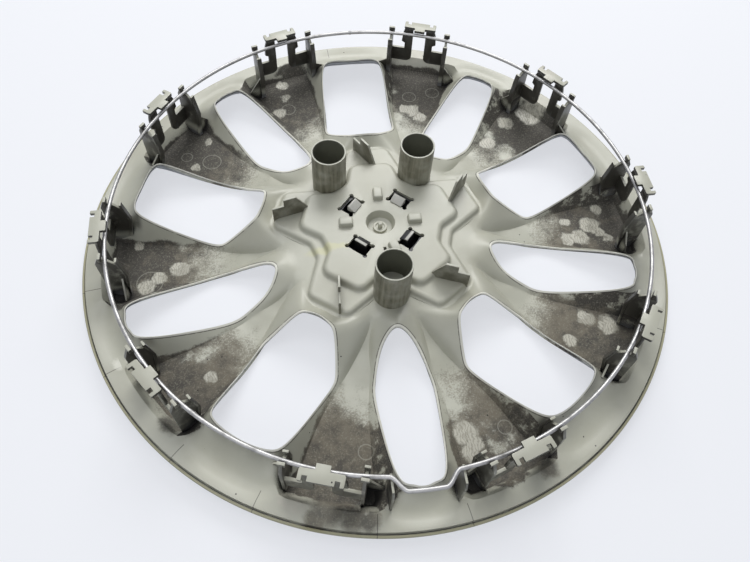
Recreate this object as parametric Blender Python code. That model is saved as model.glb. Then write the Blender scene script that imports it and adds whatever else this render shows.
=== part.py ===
"""Moulded plastic wheel cover for a 16 inch, five-stud wheel.

The cover lies on its painted face, so +Z points at the wheel and z = 0 is the
lowest point of the spoke faces. The wheel axis is the Z axis, and +Y points at
the middle of one wide window. All sizes are in metres.
"""

import math

import bmesh
import bpy
import numpy as np
from mathutils import Matrix, Vector
from mathutils.bvhtree import BVHTree
from mathutils.geometry import delaunay_2d_cdt

# ---------------------------------------------------------------- sizes

# Layout: ten spokes, with wide and narrow windows between them in turn.
PAIRS = 5
PITCH = 360.0 / PAIRS
WIDE_AXIS = 90.0
NARROW_AXIS = WIDE_AXIS + PITCH / 2
SPOKE_OFFSET = PITCH / 4

# The wire ring sits on the wheel, so the dish and the clips are placed from it.
RING_RADIUS = 0.19357
RING_HEIGHT = 0.0476
WIRE_RADIUS = 0.0014
CLEARANCE = 0.0003

# Skin of the dish.
WALL = 0.0026
FACE_TOP = 0.0026
HUB_TOP = 0.0216
FLANGE_TOP = 0.0134
HUB_END_RADIUS = 0.076
HUB_END_WAVE = 0.006
HUB_FALL = 0.044
FLANGE_REACH = 0.0236
FLANGE_WIDTH = 0.0032
FLANGE_RISE = 0.0080
FLANGE_RADIUS = RING_RADIUS + FLANGE_REACH
FLANGE_START_RADIUS = FLANGE_RADIUS - FLANGE_WIDTH
FACE_END_RADIUS = FLANGE_START_RADIUS - FLANGE_RISE
FACE_START_RADIUS = HUB_END_RADIUS + HUB_FALL

# Outer lip, with the paint groove inside it.
GROOVE_WIDTH = 0.0011
GROOVE_DEPTH = 0.0035
LIP_WIDTH = 0.0017
LIP_STEP = 0.0020
LIP_HEIGHT = 0.0032

# Half outlines of the windows, from the hub end to the rim end. Each row has
# the opening's edge (x, y, z), the shoulder behind it (x, y, z) and the foot of
# its collar (x, y), which lies on the dish. X runs along the window's axis, and
# is stretched so that the last foot stays inside the flange by COLLAR_MARGIN.
COLLAR_MARGIN = 0.0019
WIDE_ROWS = [
    ((0.0905, 0.0000, 0.0298), (0.0865, 0.0000, 0.0255), (0.0820, 0.0000)),
    ((0.0918, 0.0090, 0.0282), (0.0865, 0.0115, 0.0245), (0.0805, 0.0145)),
    ((0.0956, 0.0149, 0.0245), (0.0835, 0.0220, 0.0215), (0.0705, 0.0280)),
    ((0.1113, 0.0250, 0.0100), (0.1015, 0.0292, 0.0110), (0.0920, 0.0332)),
    ((0.1217, 0.0288, 0.0056), (0.1184, 0.0310, 0.0042), (0.1150, 0.0330)),
    ((0.1455, 0.0283, 0.0105), (0.1458, 0.0310, 0.0063), (0.1462, 0.0336)),
    ((0.1760, 0.0262, 0.0226), (0.1795, 0.0330, 0.0120), (0.1829, 0.0392)),
    ((0.1834, 0.0214, 0.0259), (0.1920, 0.0290, 0.0150), (0.2000, 0.0386)),
    ((0.1860, 0.0120, 0.0252), (0.1985, 0.0180, 0.0130), (0.2115, 0.0265)),
    ((0.1867, 0.0000, 0.0240), (0.2005, 0.0000, 0.0123), (0.2153, 0.0000)),
]
NARROW_ROWS = [
    ((0.0848, 0.0000, 0.0226), (0.0780, 0.0000, 0.0228), (0.0700, 0.0000)),
    ((0.0895, 0.0075, 0.0189), (0.0820, 0.0100, 0.0198), (0.0735, 0.0120)),
    ((0.0988, 0.0133, 0.0124), (0.0935, 0.0166, 0.0131), (0.0880, 0.0195)),
    ((0.1126, 0.0179, 0.0077), (0.1103, 0.0199, 0.0064), (0.1080, 0.0217)),
    ((0.1245, 0.0201, 0.0053), (0.1247, 0.0224, 0.0040), (0.1250, 0.0245)),
    ((0.1502, 0.0192, 0.0100), (0.1490, 0.0233, 0.0063), (0.1475, 0.0272)),
    ((0.1871, 0.0138, 0.0209), (0.1862, 0.0215, 0.0120), (0.1847, 0.0293)),
    ((0.1915, 0.0072, 0.0213), (0.1995, 0.0170, 0.0126), (0.2075, 0.0275)),
    ((0.1926, 0.0036, 0.0210), (0.2025, 0.0088, 0.0122), (0.2142, 0.0150)),
    ((0.1930, 0.0000, 0.0207), (0.2035, 0.0000, 0.0120), (0.2153, 0.0000)),
]

# Raised hub rosette: tip and valley corner of half a lobe, each as (angle from
# the lobe's middle, radius, fillet).
STEP_CORNERS = [(11.1, 0.0782, 0.0045), (28.1, 0.0530, 0.0090)]
PLATE_CORNERS = [(14.4, 0.0588, 0.0050), (26.1, 0.0442, 0.0090)]
STEP_TOP = 0.0251
PLATE_TOP = 0.0295
STEP_FOOT_OFFSET = 0.0018
PLATE_FOOT_OFFSET = 0.0020
STEP_ROUND = 0.0009
PLATE_ROUND = 0.0012

# Cup in the middle of the hub, with a boss ring and a gate pin.
CUP_RADIUS = 0.0110
CUP_FLOOR_RADIUS = 0.0094
CUP_DEPTH = 0.0070
BOSS_RADIUS = 0.0052
BOSS_BORE = 0.0034
BOSS_HEIGHT = 0.0016
PIN_RADIUS = 0.0017
PIN_HEIGHT = 0.0058

# Slots for the badge's legs, a keyway, and the stops between the slots.
SLOT_COUNT = 4
SLOT_FIRST_ANGLE = 48.0
SLOT_RADIUS = 0.0262
SLOT_LENGTH = 0.0156
SLOT_WIDTH = 0.0104
SLOT_EAR = 0.0030
KEYWAY_LENGTH = 0.0070
KEYWAY_WIDTH = 0.0022
KEYWAY_RADIUS = 0.0262
KEYWAY_ANGLE = -90.0
STOP_ANGLES = [-1.0, 87.0, 177.0, -74.0]
STOP_RADIUS = 0.0258
STOP_LENGTH = 0.0112
STOP_WIDTH = 0.0078
STOP_HEIGHT = 0.0040

# Stud tubes.
TUBE_ANGLES = [54.0, 126.0, 270.0]
STUD_CIRCLE_RADIUS = 0.05715
TUBE_OUTER_RADIUS = 0.0130
TUBE_WALL = 0.0014
TUBE_TOP = 0.0589
TUBE_FLOOR = 0.0310
TUBE_FLOOR_WALL = 0.0020
RECESS_RADIUS = 0.0104

# Upright fins on the lobes: (distance along the fin, height above the step).
FIN_START = (0.0560, -0.0040)
FIN_TURN = 31.8
FIN_WALL = 0.0016
FIN_FOOT_LENGTH = 0.0275
FIN_SLOPE_LENGTH = 0.0094
FIN_TOP_LENGTH = 0.0186
FIN_ROOT_HEIGHT = 0.0034
FIN_STEP_HEIGHT = 0.0120
FIN_HEIGHT = 0.0186

# Retention ring: spring wire with a kink that clears the tyre valve.
KINK_AXIS = 269.3
KINK_REACH = 0.0084
KINK_INNER_ANGLE = 3.6
KINK_OUTER_ANGLE = 5.6

# Clip groups at the outer ends of the spokes. X is radial, Y tangential.
POST_OFFSET = 0.0243
POST_WALL = 0.0021
POST_INNER = RING_RADIUS - 0.0085
POST_OUTER = RING_RADIUS + 0.0061
POST_KNEE = POST_INNER - 0.0029
POST_KNEE_HEIGHT = 0.0274
POST_FOOT_INNER = POST_INNER + 0.0011
POST_BAND_WIDTH = 0.0038
POST_BAND_DEPTH = 0.0020
PRONG_INNER_WIDTH = 0.0016
PRONG_INNER_HEIGHT = RING_HEIGHT - 0.0019
PRONG_DIP = RING_HEIGHT - 0.0061
PRONG_OUTER_WIDTH = 0.0020
PRONG_OUTER_HEIGHT = RING_HEIGHT + 0.0042
PRONG_FLAG_WIDTH = 0.0050
GUSSET_RADIUS = POST_INNER + 0.0021
GUSSET_WALL = 0.0014
GUSSET_HEIGHT = 0.0250
GUSSET_TIP_RISE = 0.0022
GUSSET_WIDE_TIP = 0.0340
GUSSET_NARROW_TIP = 0.0360
CLAW_INNER = RING_RADIUS + 0.0026
CLAW_WALL = 0.0022
CLAW_BOTTOM = 0.0172
CLAW_WEB_TOP = 0.0305
CLAW_LEG_INNER = 0.0056
CLAW_LEG_OUTER = 0.0124
CLAW_BARB = 0.0152
CLAW_BARB_HEIGHT = 0.0362
CLAW_CORNER = 0.0060
BRIDGE_TOP = RING_HEIGHT + 0.0060
BRIDGE_WALL = 0.0024
BRIDGE_INNER = RING_RADIUS + 0.0016
BRIDGE_OUTER = RING_RADIUS + 0.0090
BRIDGE_HALF = 0.0126
BRIDGE_HOOK_WIDTH = 0.0017
BRIDGE_NOTCH_WIDTH = 0.0034
BRIDGE_NOTCH_DEPTH = 0.0034
TAB_HALF = 0.0044
TAB_INNER = RING_RADIUS - 0.0022

# Short ribs that hold the wire beside the valve kink.
KINK_RIB_OFFSETS = [-0.0220, 0.0206]
KINK_RIB_INNER = RING_RADIUS - 0.0036
KINK_RIB_OUTER = RING_RADIUS + 0.0094
KINK_RIB_WALL = 0.0015

# Centre badge on the painted face, held by legs through the hub slots.
BADGE_RADIUS = 0.0310
BADGE_RIM = 0.0030
BADGE_CROWN = 0.0020
BADGE_BACK = 0.0158
LEG_WIDTH = 0.0098
LEG_WALL = 0.0014
LEG_SPREAD = 0.0040
LEG_HOOK = 0.0008
LEG_HOOK_HEIGHT = 0.0036

# Mesh density.
WIDE_COUNT = 28
NARROW_COUNT = 24
RIM_COUNT = 72
CUP_COUNT = 4 * PAIRS
BOSS_COUNT = 14
TUBE_COUNT = 18
RING_SEGMENTS = 100
COLLAR_STEPS = [0.0, 0.45, 1.0]
WEB_SPACING = 0.0130
WEB_GAP = 0.0056
SMOOTHING = 12
EMBED = 0.0012


# ---------------------------------------------------------------- helpers

def clear_scene():
    for item in list(bpy.data.objects):
        bpy.data.objects.remove(item, do_unlink=True)


def make_material(name, colour, roughness, metallic):
    material = bpy.data.materials.new(name)
    material.use_nodes = True
    shader = material.node_tree.nodes["Principled BSDF"]
    shader.inputs["Base Color"].default_value = (*colour, 1.0)
    shader.inputs["Roughness"].default_value = roughness
    shader.inputs["Metallic"].default_value = metallic
    return material


def make_object(name, bm, material=None, smooth_angle=35.0):
    mesh = bpy.data.meshes.new(name)
    bm.to_mesh(mesh)
    bm.free()
    mesh.shade_smooth()
    mesh.set_sharp_from_angle(angle=math.radians(smooth_angle))
    if material:
        mesh.materials.append(material)
    item = bpy.data.objects.new(name, mesh)
    bpy.context.scene.collection.objects.link(item)
    return item


def polar(radius, degrees):
    angle = math.radians(degrees)
    return radius * math.cos(angle), radius * math.sin(angle)


def turn(degrees):
    return Matrix.Rotation(math.radians(degrees), 4, "Z")


def spline_knots(points):
    """Parameter steps between points; the square root crowds the corners."""
    p = np.array(points, dtype=float)
    return np.sqrt(np.linalg.norm(np.roll(p, -1, 0) - p, axis=1))


def closed_spline(points, knots, count):
    """Smooth closed curve through the points, at count even steps."""
    p = np.array(points, dtype=float)
    n = len(p)
    h = knots
    system = np.zeros((n, n))
    for i in range(n):
        system[i, i - 1] += h[i - 1]
        system[i, i] += 2 * (h[i - 1] + h[i])
        system[i, (i + 1) % n] += h[i]
    slope = (np.roll(p, -1, 0) - p) / h[:, None]
    bend = np.linalg.solve(system, 6 * (slope - np.roll(slope, 1, 0)))
    start = np.concatenate([[0.0], np.cumsum(h)])
    curve = []
    for t in np.linspace(0, start[-1], count, endpoint=False):
        i = min(int(np.searchsorted(start, t, side="right")) - 1, n - 1)
        j = (i + 1) % n
        a = (start[i + 1] - t) / h[i]
        b = 1 - a
        cubic = ((a ** 3 - a) * bend[i] + (b ** 3 - b) * bend[j]) * h[i] ** 2 / 6
        curve.append(a * p[i] + b * p[j] + cubic)
    return curve


def mirrored(rows):
    """Close a half outline over its own axis."""
    other = [(row[0], -row[1]) + tuple(row[2:]) for row in rows[-2:0:-1]]
    return list(rows) + other


def extrude_profile(profile, depth, frame):
    """Prism from a flat outline, along the frame's Z."""
    bm = bmesh.new()
    corners = [bm.verts.new((x, y, 0.0)) for x, y in profile]
    cap = bm.faces.new(corners)
    grown = bmesh.ops.extrude_face_region(bm, geom=[cap])
    top = [v for v in grown["geom"] if isinstance(v, bmesh.types.BMVert)]
    bmesh.ops.translate(bm, verts=top, vec=(0.0, 0.0, depth))
    bmesh.ops.transform(bm, matrix=frame, verts=bm.verts)
    bmesh.ops.recalc_face_normals(bm, faces=bm.faces)
    return bm


def turned_profile(profile, count, frame):
    """Solid of revolution about the frame's Z from (radius, height) corners."""
    bm = bmesh.new()
    corners = [bm.verts.new((r, 0.0, z)) for r, z in profile]
    edges = [bm.edges.new(pair) for pair in zip(corners, corners[1:])]
    bmesh.ops.spin(bm, geom=corners + edges, axis=(0, 0, 1), cent=(0, 0, 0),
                   angle=math.tau, steps=count, use_merge=True)
    bmesh.ops.remove_doubles(bm, verts=bm.verts, dist=1e-6)
    bmesh.ops.transform(bm, matrix=frame, verts=bm.verts)
    bmesh.ops.recalc_face_normals(bm, faces=bm.faces)
    return bm


def join_meshes(parts):
    """One mesh from several, as separate shells."""
    whole = bmesh.new()
    for part in parts:
        mesh = bpy.data.meshes.new("part")
        part.to_mesh(mesh)
        part.free()
        whole.from_mesh(mesh)
        bpy.data.meshes.remove(mesh)
    return whole


def copied(bm, matrix):
    other = bm.copy()
    bmesh.ops.transform(other, matrix=matrix, verts=other.verts)
    return other


def boolean(target, tool, operation, solver="EXACT"):
    """Cut or join with a Boolean, and take the result as a mesh.

    The exact solver loses the thin curved skin where tools cross many of its
    facets, so the cuts and unions on the skin take the manifold solver.
    """
    first = make_object("target", target)
    second = make_object("tool", tool)
    second.hide_render = True
    second.display_type = "WIRE"
    step = first.modifiers.new("cut", "BOOLEAN")
    step.solver = solver
    step.operation = operation
    step.object = second
    graph = bpy.context.evaluated_depsgraph_get()
    mesh = bpy.data.meshes.new_from_object(first.evaluated_get(graph))
    result = bmesh.new()
    result.from_mesh(mesh)
    bpy.data.objects.remove(first, do_unlink=True)
    bpy.data.objects.remove(second, do_unlink=True)
    bpy.data.meshes.remove(mesh)
    bmesh.ops.remove_doubles(result, verts=result.verts, dist=2e-6)
    return result


# ---------------------------------------------------------------- dish skin

def blend(t):
    t = min(max(t, 0.0), 1.0)
    return 0.5 * t + 0.5 * t * t * (3 - 2 * t)


def dish_height(x, y):
    """Back of the dish before the windows' collars: hub, spoke faces, flange."""
    radius = math.hypot(x, y)
    lobe = math.cos(math.radians(PAIRS * (math.degrees(math.atan2(y, x)) - WIDE_AXIS)))
    hub_end = HUB_END_RADIUS + HUB_END_WAVE * lobe
    fall = blend((radius - hub_end) / (FACE_START_RADIUS - hub_end))
    rise = blend((radius - FACE_END_RADIUS) / (FLANGE_START_RADIUS - FACE_END_RADIUS))
    return HUB_TOP + (FACE_TOP - HUB_TOP) * fall + (FLANGE_TOP - FACE_TOP) * rise


def window_rings(rows, count, degrees, steps=COLLAR_STEPS):
    """Rings of one window's collar, from its edge to its foot on the dish."""
    place = turn(degrees)
    last_foot = rows[-1][2][0]
    stretch = (FLANGE_RADIUS - COLLAR_MARGIN - HUB_END_RADIUS) / (last_foot - HUB_END_RADIUS)
    columns = []
    for i in range(3):
        points = [row[i] if i < 2 else row[i] + (0.0,) for row in rows]
        columns.append([(HUB_END_RADIUS + (x - HUB_END_RADIUS) * stretch, y, z) for x, y, z in points])
    closed = [mirrored(column) for column in columns]
    knots = spline_knots(closed[1])
    edge, shoulder, foot = [closed_spline(column, knots, count) for column in closed]
    for point in foot:
        x, y, _ = place @ Vector(point)
        point[2] = dish_height(x, y)
    rings = []
    for t in steps:
        weights = ((1 - t) * (1 - 2 * t), 4 * t * (1 - t), t * (2 * t - 1))
        ring = [weights[0] * e + weights[1] * s + weights[2] * f for e, s, f in zip(edge, shoulder, foot)]
        rings.append([place @ Vector(p) for p in ring])
    return rings


def lobe_ring(half_lobe, offset, height):
    """Rosette outline with rounded corners, moved outward by the offset."""
    corners = []
    for k in range(PAIRS):
        middle = WIDE_AXIS + k * PITCH
        for side, half in ((-1.0, half_lobe[::-1]), (1.0, half_lobe)):
            corners += [(Vector(polar(radius, middle + side * angle)), fillet) for angle, radius, fillet in half]
    ring = []
    for i, (corner, fillet) in enumerate(corners):
        before = (corners[i - 1][0] - corner).normalized()
        after = (corners[(i + 1) % len(corners)][0] - corner).normalized()
        bisector = (before + after).normalized()
        half = before.angle(after) / 2
        centre = corner + bisector * fillet / math.sin(half)
        reach = fillet + math.copysign(offset, after.cross(before))
        tangents = [corner + way * fillet / math.tan(half) - centre for way in (before, after)]
        for way in (tangents[0].normalized(), -bisector, tangents[1].normalized()):
            point = centre + way * reach
            ring.append(Vector((point.x, point.y, height)))
    return ring


def circle_ring(radius, count, height, first):
    step = 360.0 / count
    return [Vector((*polar(radius, first + i * step), height)) for i in range(count)]


def inside(point, ring):
    """True where the point lies inside the ring, seen from above."""
    hit = False
    for a, b in zip(ring, ring[1:] + ring[:1]):
        if (a.y > point[1]) != (b.y > point[1]):
            if point[0] < a.x + (point[1] - a.y) * (b.x - a.x) / (b.y - a.y):
                hit = not hit
    return hit


def web_points(borders):
    """Points on the sloping parts of the dish, clear of the borders."""
    slopes = [(HUB_END_RADIUS - HUB_END_WAVE * 2, FACE_START_RADIUS), (FACE_END_RADIUS, FLANGE_START_RADIUS)]
    points = []
    for inner, outer in slopes:
        rows = max(int(round((outer - inner) / WEB_SPACING)), 2)
        for i in range(rows + 1):
            radius = inner + (outer - inner) * i / rows
            around = 2 * PAIRS * int(round(math.tau * radius / WEB_SPACING / PAIRS / 2))
            for j in range(around):
                x, y = polar(radius, WIDE_AXIS + (j + (i % 2) / 2) * 360.0 / around)
                near = min(math.hypot(x - p.x, y - p.y) for ring in borders for p in ring)
                if near > WEB_GAP:
                    points.append(Vector((x, y, dish_height(x, y))))
    return points


def add_ring(bm, ring):
    return [bm.verts.new(point) for point in ring]


def bridge(bm, outer, inner):
    """Band of faces between two rings; the outer may have several times the points."""
    ratio = len(outer) // len(inner)
    wrapped = list(outer) + [outer[0]]
    for i in range(len(inner)):
        ends = [inner[(i + 1) % len(inner)], inner[i]]
        bm.faces.new(wrapped[i * ratio:(i + 1) * ratio + 1] + ends)


def skin_top(bm):
    """Back surface of the dish, as one open sheet."""
    feet = []
    edges = []
    for k in range(PAIRS):
        for rows, count, axis in ((WIDE_ROWS, WIDE_COUNT, WIDE_AXIS), (NARROW_ROWS, NARROW_COUNT, NARROW_AXIS)):
            rings = [add_ring(bm, ring) for ring in window_rings(rows, count, axis + k * PITCH)]
            for inner, outer in zip(rings, rings[1:]):
                bridge(bm, outer, inner)
            feet.append(rings[-1])
            edges.append(rings[0])
    step_foot = add_ring(bm, lobe_ring(STEP_CORNERS, STEP_FOOT_OFFSET, HUB_TOP))
    step_side = add_ring(bm, lobe_ring(STEP_CORNERS, STEP_ROUND, STEP_TOP - STEP_ROUND))
    step_top = add_ring(bm, lobe_ring(STEP_CORNERS, 0.0, STEP_TOP))
    plate_foot = add_ring(bm, lobe_ring(PLATE_CORNERS, PLATE_FOOT_OFFSET, STEP_TOP))
    plate_side = add_ring(bm, lobe_ring(PLATE_CORNERS, PLATE_ROUND, PLATE_TOP - PLATE_ROUND))
    plate_top = add_ring(bm, lobe_ring(PLATE_CORNERS, 0.0, PLATE_TOP))
    first = WIDE_AXIS - 1.5 * 360.0 / CUP_COUNT
    cup_top = add_ring(bm, circle_ring(CUP_RADIUS, CUP_COUNT, PLATE_TOP, first))
    cup_floor = add_ring(bm, circle_ring(CUP_FLOOR_RADIUS, CUP_COUNT, PLATE_TOP - CUP_DEPTH, first))
    hub = [step_foot, step_side, step_top, plate_foot, plate_side, plate_top, cup_top, cup_floor]
    for outer, inner in zip(hub, hub[1:]):
        bridge(bm, outer, inner)
    bm.faces.new(cup_floor)
    rim = add_ring(bm, circle_ring(FLANGE_RADIUS, RIM_COUNT, FLANGE_TOP, WIDE_AXIS))
    fill_web(bm, rim, feet, step_foot)
    return rim, edges


def fill_web(bm, rim, feet, step_foot):
    """Triangulate the dish between the rim, the window feet and the hub."""
    holes = [[v.co for v in ring] for ring in feet + [step_foot]]
    border = [v.co for v in rim]
    extra = [bm.verts.new(p) for p in web_points(holes + [border])
             if inside(p, border) and not any(inside(p, hole) for hole in holes)]
    verts = []
    constraints = []
    for ring in [rim] + feet + [step_foot]:
        base = len(verts)
        verts += ring
        constraints += [(base + i, base + (i + 1) % len(ring)) for i in range(len(ring))]
    verts += extra
    flat = [Vector((v.co.x, v.co.y)) for v in verts]
    _, _, faces, origins, _, _ = delaunay_2d_cdt(flat, constraints, [], 0, 1e-7)
    for face in faces:
        corners = [verts[origins[i][0]] for i in face]
        middle = sum((v.co for v in corners), Vector()) / 3
        if inside(middle, border) and not any(inside(middle, hole) for hole in holes):
            bm.faces.new(corners)
    slope = [v for v in extra + sum(feet, []) if v.co.to_2d().length < FACE_START_RADIUS]
    for _ in range(SMOOTHING):
        bmesh.ops.smooth_vert(bm, verts=slope, factor=0.5, use_axis_z=True)


def make_skin():
    """Closed dish: the back sheet, the painted sheet under it, and the edges."""
    bm = bmesh.new()
    rim, edges = skin_top(bm)
    bmesh.ops.recalc_face_normals(bm, faces=bm.faces)
    if sum(face.normal.z for face in bm.faces) < 0:
        bmesh.ops.reverse_faces(bm, faces=bm.faces)
    tree = BVHTree.FromBMesh(bm)
    bm.normal_update()
    upper = list(bm.verts)
    upper_faces = list(bm.faces)
    edge_verts = {v for ring in edges for v in ring}
    lower = {}
    for v in upper:
        drop = Vector((0.0, 0.0, WALL)) if v in edge_verts else v.normal * WALL
        lower[v] = bm.verts.new(v.co - drop)
    for face in upper_faces:
        bm.faces.new([lower[v] for v in reversed(face.verts)])
    for ring in edges:
        bridge(bm, ring, [lower[v] for v in ring])
    groove = FLANGE_RADIUS + GROOVE_WIDTH
    outer = groove + LIP_WIDTH
    lip = FLANGE_TOP - LIP_STEP
    wall = [
        (FLANGE_RADIUS + 0.0001, FLANGE_TOP - GROOVE_DEPTH),
        (groove, FLANGE_TOP - GROOVE_DEPTH),
        (groove + 0.0001, lip),
        (outer, lip - 0.0002),
        (outer, lip - LIP_HEIGHT),
        (groove - 0.0010, lip - LIP_HEIGHT - 0.0006),
    ]
    chain = [rim] + [add_ring(bm, circle_ring(r, RIM_COUNT, z, WIDE_AXIS)) for r, z in wall]
    chain.append([lower[v] for v in rim])
    for a, b in zip(chain, chain[1:]):
        bridge(bm, a, b)
    bmesh.ops.recalc_face_normals(bm, faces=bm.faces)
    return bm, tree


def surface_height(tree, x, y):
    """Height of the dish's back surface at a point."""
    hit = tree.ray_cast(Vector((x, y, TUBE_TOP)), Vector((0.0, 0.0, -1.0)))
    return hit[0].z if hit[0] else dish_height(x, y)


# ---------------------------------------------------------------- hub pieces

def make_tube(degrees):
    """Stud tube, blind at mid height, with the nut recess of the painted face."""
    x, y = polar(STUD_CIRCLE_RADIUS, degrees)
    bore = TUBE_OUTER_RADIUS - TUBE_WALL
    recess_top = TUBE_FLOOR - TUBE_FLOOR_WALL
    bottom = HUB_TOP - WALL - EMBED
    profile = [
        (0.0, TUBE_FLOOR),
        (bore, TUBE_FLOOR),
        (bore, TUBE_TOP),
        (TUBE_OUTER_RADIUS, TUBE_TOP),
        (TUBE_OUTER_RADIUS, bottom),
        (RECESS_RADIUS, bottom),
        (RECESS_RADIUS, recess_top),
        (0.0, recess_top),
    ]
    return turned_profile(profile, TUBE_COUNT, Matrix.Translation((x, y, 0.0)))


def recess_cutter(degrees):
    """Opens the skin under a stud tube."""
    x, y = polar(STUD_CIRCLE_RADIUS, degrees)
    radius = RECESS_RADIUS + 0.0008
    bottom = HUB_TOP - WALL - 0.01
    profile = [(0.0, STEP_TOP + 0.01), (radius, STEP_TOP + 0.01), (radius, bottom), (0.0, bottom)]
    return turned_profile(profile, TUBE_COUNT, Matrix.Translation((x, y, 0.0)))


def upright(origin, degrees):
    """Frame whose X runs along the angle, Y is up, and Z is across."""
    rise = Matrix.Rotation(math.radians(90.0), 4, "X")
    return Matrix.Translation(origin) @ turn(degrees) @ rise


def make_fin(degrees):
    """Stepped centring fin on a lobe."""
    start = turn(degrees) @ Vector((*FIN_START, 0.0))
    profile = [
        (0.0, STEP_TOP - EMBED),
        (FIN_FOOT_LENGTH, HUB_TOP - EMBED),
        (FIN_FOOT_LENGTH, STEP_TOP + FIN_STEP_HEIGHT),
        (FIN_TOP_LENGTH, STEP_TOP + FIN_STEP_HEIGHT),
        (FIN_TOP_LENGTH, STEP_TOP + FIN_HEIGHT),
        (FIN_SLOPE_LENGTH, STEP_TOP + FIN_HEIGHT),
        (0.0, STEP_TOP + FIN_ROOT_HEIGHT),
    ]
    frame = upright(start, degrees + FIN_TURN) @ Matrix.Translation((0.0, 0.0, -FIN_WALL / 2))
    return extrude_profile(profile, FIN_WALL, frame)


def make_stop(degrees):
    """Rectangular stop beside the badge slots, with a small draft."""
    x, y = polar(STOP_RADIUS, degrees)
    bm = bmesh.new()
    bmesh.ops.create_cube(bm, size=1.0)
    bmesh.ops.scale(bm, verts=bm.verts, vec=(STOP_LENGTH, STOP_WIDTH, STOP_HEIGHT + EMBED))
    top = [v for v in bm.verts if v.co.z > 0]
    bmesh.ops.scale(bm, verts=top, vec=(0.86, 0.80, 1.0))
    centre = PLATE_TOP + (STOP_HEIGHT - EMBED) / 2
    frame = Matrix.Translation((x, y, centre)) @ turn(degrees)
    bmesh.ops.transform(bm, matrix=frame, verts=bm.verts)
    return bm


def make_slot(degrees, radius, length, width, ear):
    """Cutter for a slot with relief ears at its outer corners."""
    half = length / 2
    inner = -width / 2
    outer = width / 2
    profile = [(inner, -half), (outer, -half), (outer, half), (inner, half)]
    if ear:
        profile = [
            (inner, -half), (outer - ear, -half), (outer - ear, -half - ear / 2), (outer, -half - ear / 2),
            (outer, half + ear / 2), (outer - ear, half + ear / 2), (outer - ear, half), (inner, half),
        ]
    bottom = HUB_TOP - WALL - 0.004
    frame = turn(degrees) @ Matrix.Translation((radius, 0.0, bottom))
    return extrude_profile(profile, PLATE_TOP - bottom + 0.004, frame)


def make_boss():
    """Boss ring and gate pin on the cup's floor."""
    floor = PLATE_TOP - CUP_DEPTH
    ring = [
        (BOSS_BORE, floor - EMBED), (BOSS_RADIUS, floor - EMBED),
        (BOSS_RADIUS, floor + BOSS_HEIGHT), (BOSS_BORE, floor + BOSS_HEIGHT), (BOSS_BORE, floor - EMBED),
    ]
    pin = [
        (0.0, floor - EMBED), (PIN_RADIUS, floor - EMBED),
        (PIN_RADIUS, floor + PIN_HEIGHT - PIN_RADIUS / 2), (PIN_RADIUS / 2, floor + PIN_HEIGHT),
        (0.0, floor + PIN_HEIGHT),
    ]
    return [turned_profile(ring, BOSS_COUNT, Matrix()), turned_profile(pin, BOSS_COUNT // 2, Matrix())]


# ---------------------------------------------------------------- clips

def foot_height(tree, x, y):
    """Height just inside the dish under a point of the first spoke's frame."""
    p = turn(WIDE_AXIS + SPOKE_OFFSET) @ Vector((x, y, 0.0))
    return surface_height(tree, p.x, p.y) - EMBED


def make_post(tree, side):
    """Radial rib with a forked top that the wire lies in."""
    offset = side * POST_OFFSET
    seat = RING_HEIGHT - WIRE_RADIUS - CLEARANCE
    reach = RING_RADIUS + WIRE_RADIUS + CLEARANCE
    prong = math.sqrt(reach ** 2 - (POST_OFFSET - PRONG_FLAG_WIDTH / 2) ** 2)
    wire = math.sqrt(RING_RADIUS ** 2 - POST_OFFSET ** 2)
    dip = POST_INNER + PRONG_INNER_WIDTH
    inset = POST_BAND_DEPTH / 8
    middle = (POST_OUTER + POST_FOOT_INNER) / 2
    profile = [(x, foot_height(tree, x, offset)) for x in (POST_OUTER, middle, POST_FOOT_INNER)]
    profile += [
        (POST_KNEE + inset, POST_KNEE_HEIGHT),
        (POST_INNER + inset, PRONG_INNER_HEIGHT - inset),
        (dip, PRONG_INNER_HEIGHT - inset),
        (dip + inset, PRONG_DIP),
        (wire - WIRE_RADIUS, seat),
        (prong + inset, seat),
        (prong + inset, PRONG_OUTER_HEIGHT - inset),
        (prong + PRONG_OUTER_WIDTH - inset, PRONG_OUTER_HEIGHT - inset),
        (POST_OUTER - inset, seat - POST_WALL),
    ]
    rib = extrude_profile(profile, POST_WALL, upright((0.0, offset + POST_WALL / 2, 0.0), 0.0))
    foot = foot_height(tree, POST_FOOT_INNER, offset) + inset
    band = [
        (POST_FOOT_INNER - inset, foot),
        (POST_KNEE, POST_KNEE_HEIGHT),
        (POST_INNER, PRONG_INNER_HEIGHT),
        (dip - inset, PRONG_INNER_HEIGHT),
        (POST_KNEE + POST_BAND_DEPTH, POST_KNEE_HEIGHT),
        (POST_FOOT_INNER + POST_BAND_DEPTH, foot),
    ]
    edge = extrude_profile(band, POST_BAND_WIDTH, upright((0.0, offset + POST_BAND_WIDTH / 2, 0.0), 0.0))
    root = seat + PRONG_OUTER_WIDTH
    flag = [
        (prong, root), (prong, PRONG_OUTER_HEIGHT),
        (prong + PRONG_OUTER_WIDTH, PRONG_OUTER_HEIGHT), (prong + PRONG_OUTER_WIDTH, root),
    ]
    tip = extrude_profile(flag, PRONG_FLAG_WIDTH, upright((0.0, offset + PRONG_FLAG_WIDTH / 2, 0.0), 0.0))
    return [rib, edge, tip]


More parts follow.
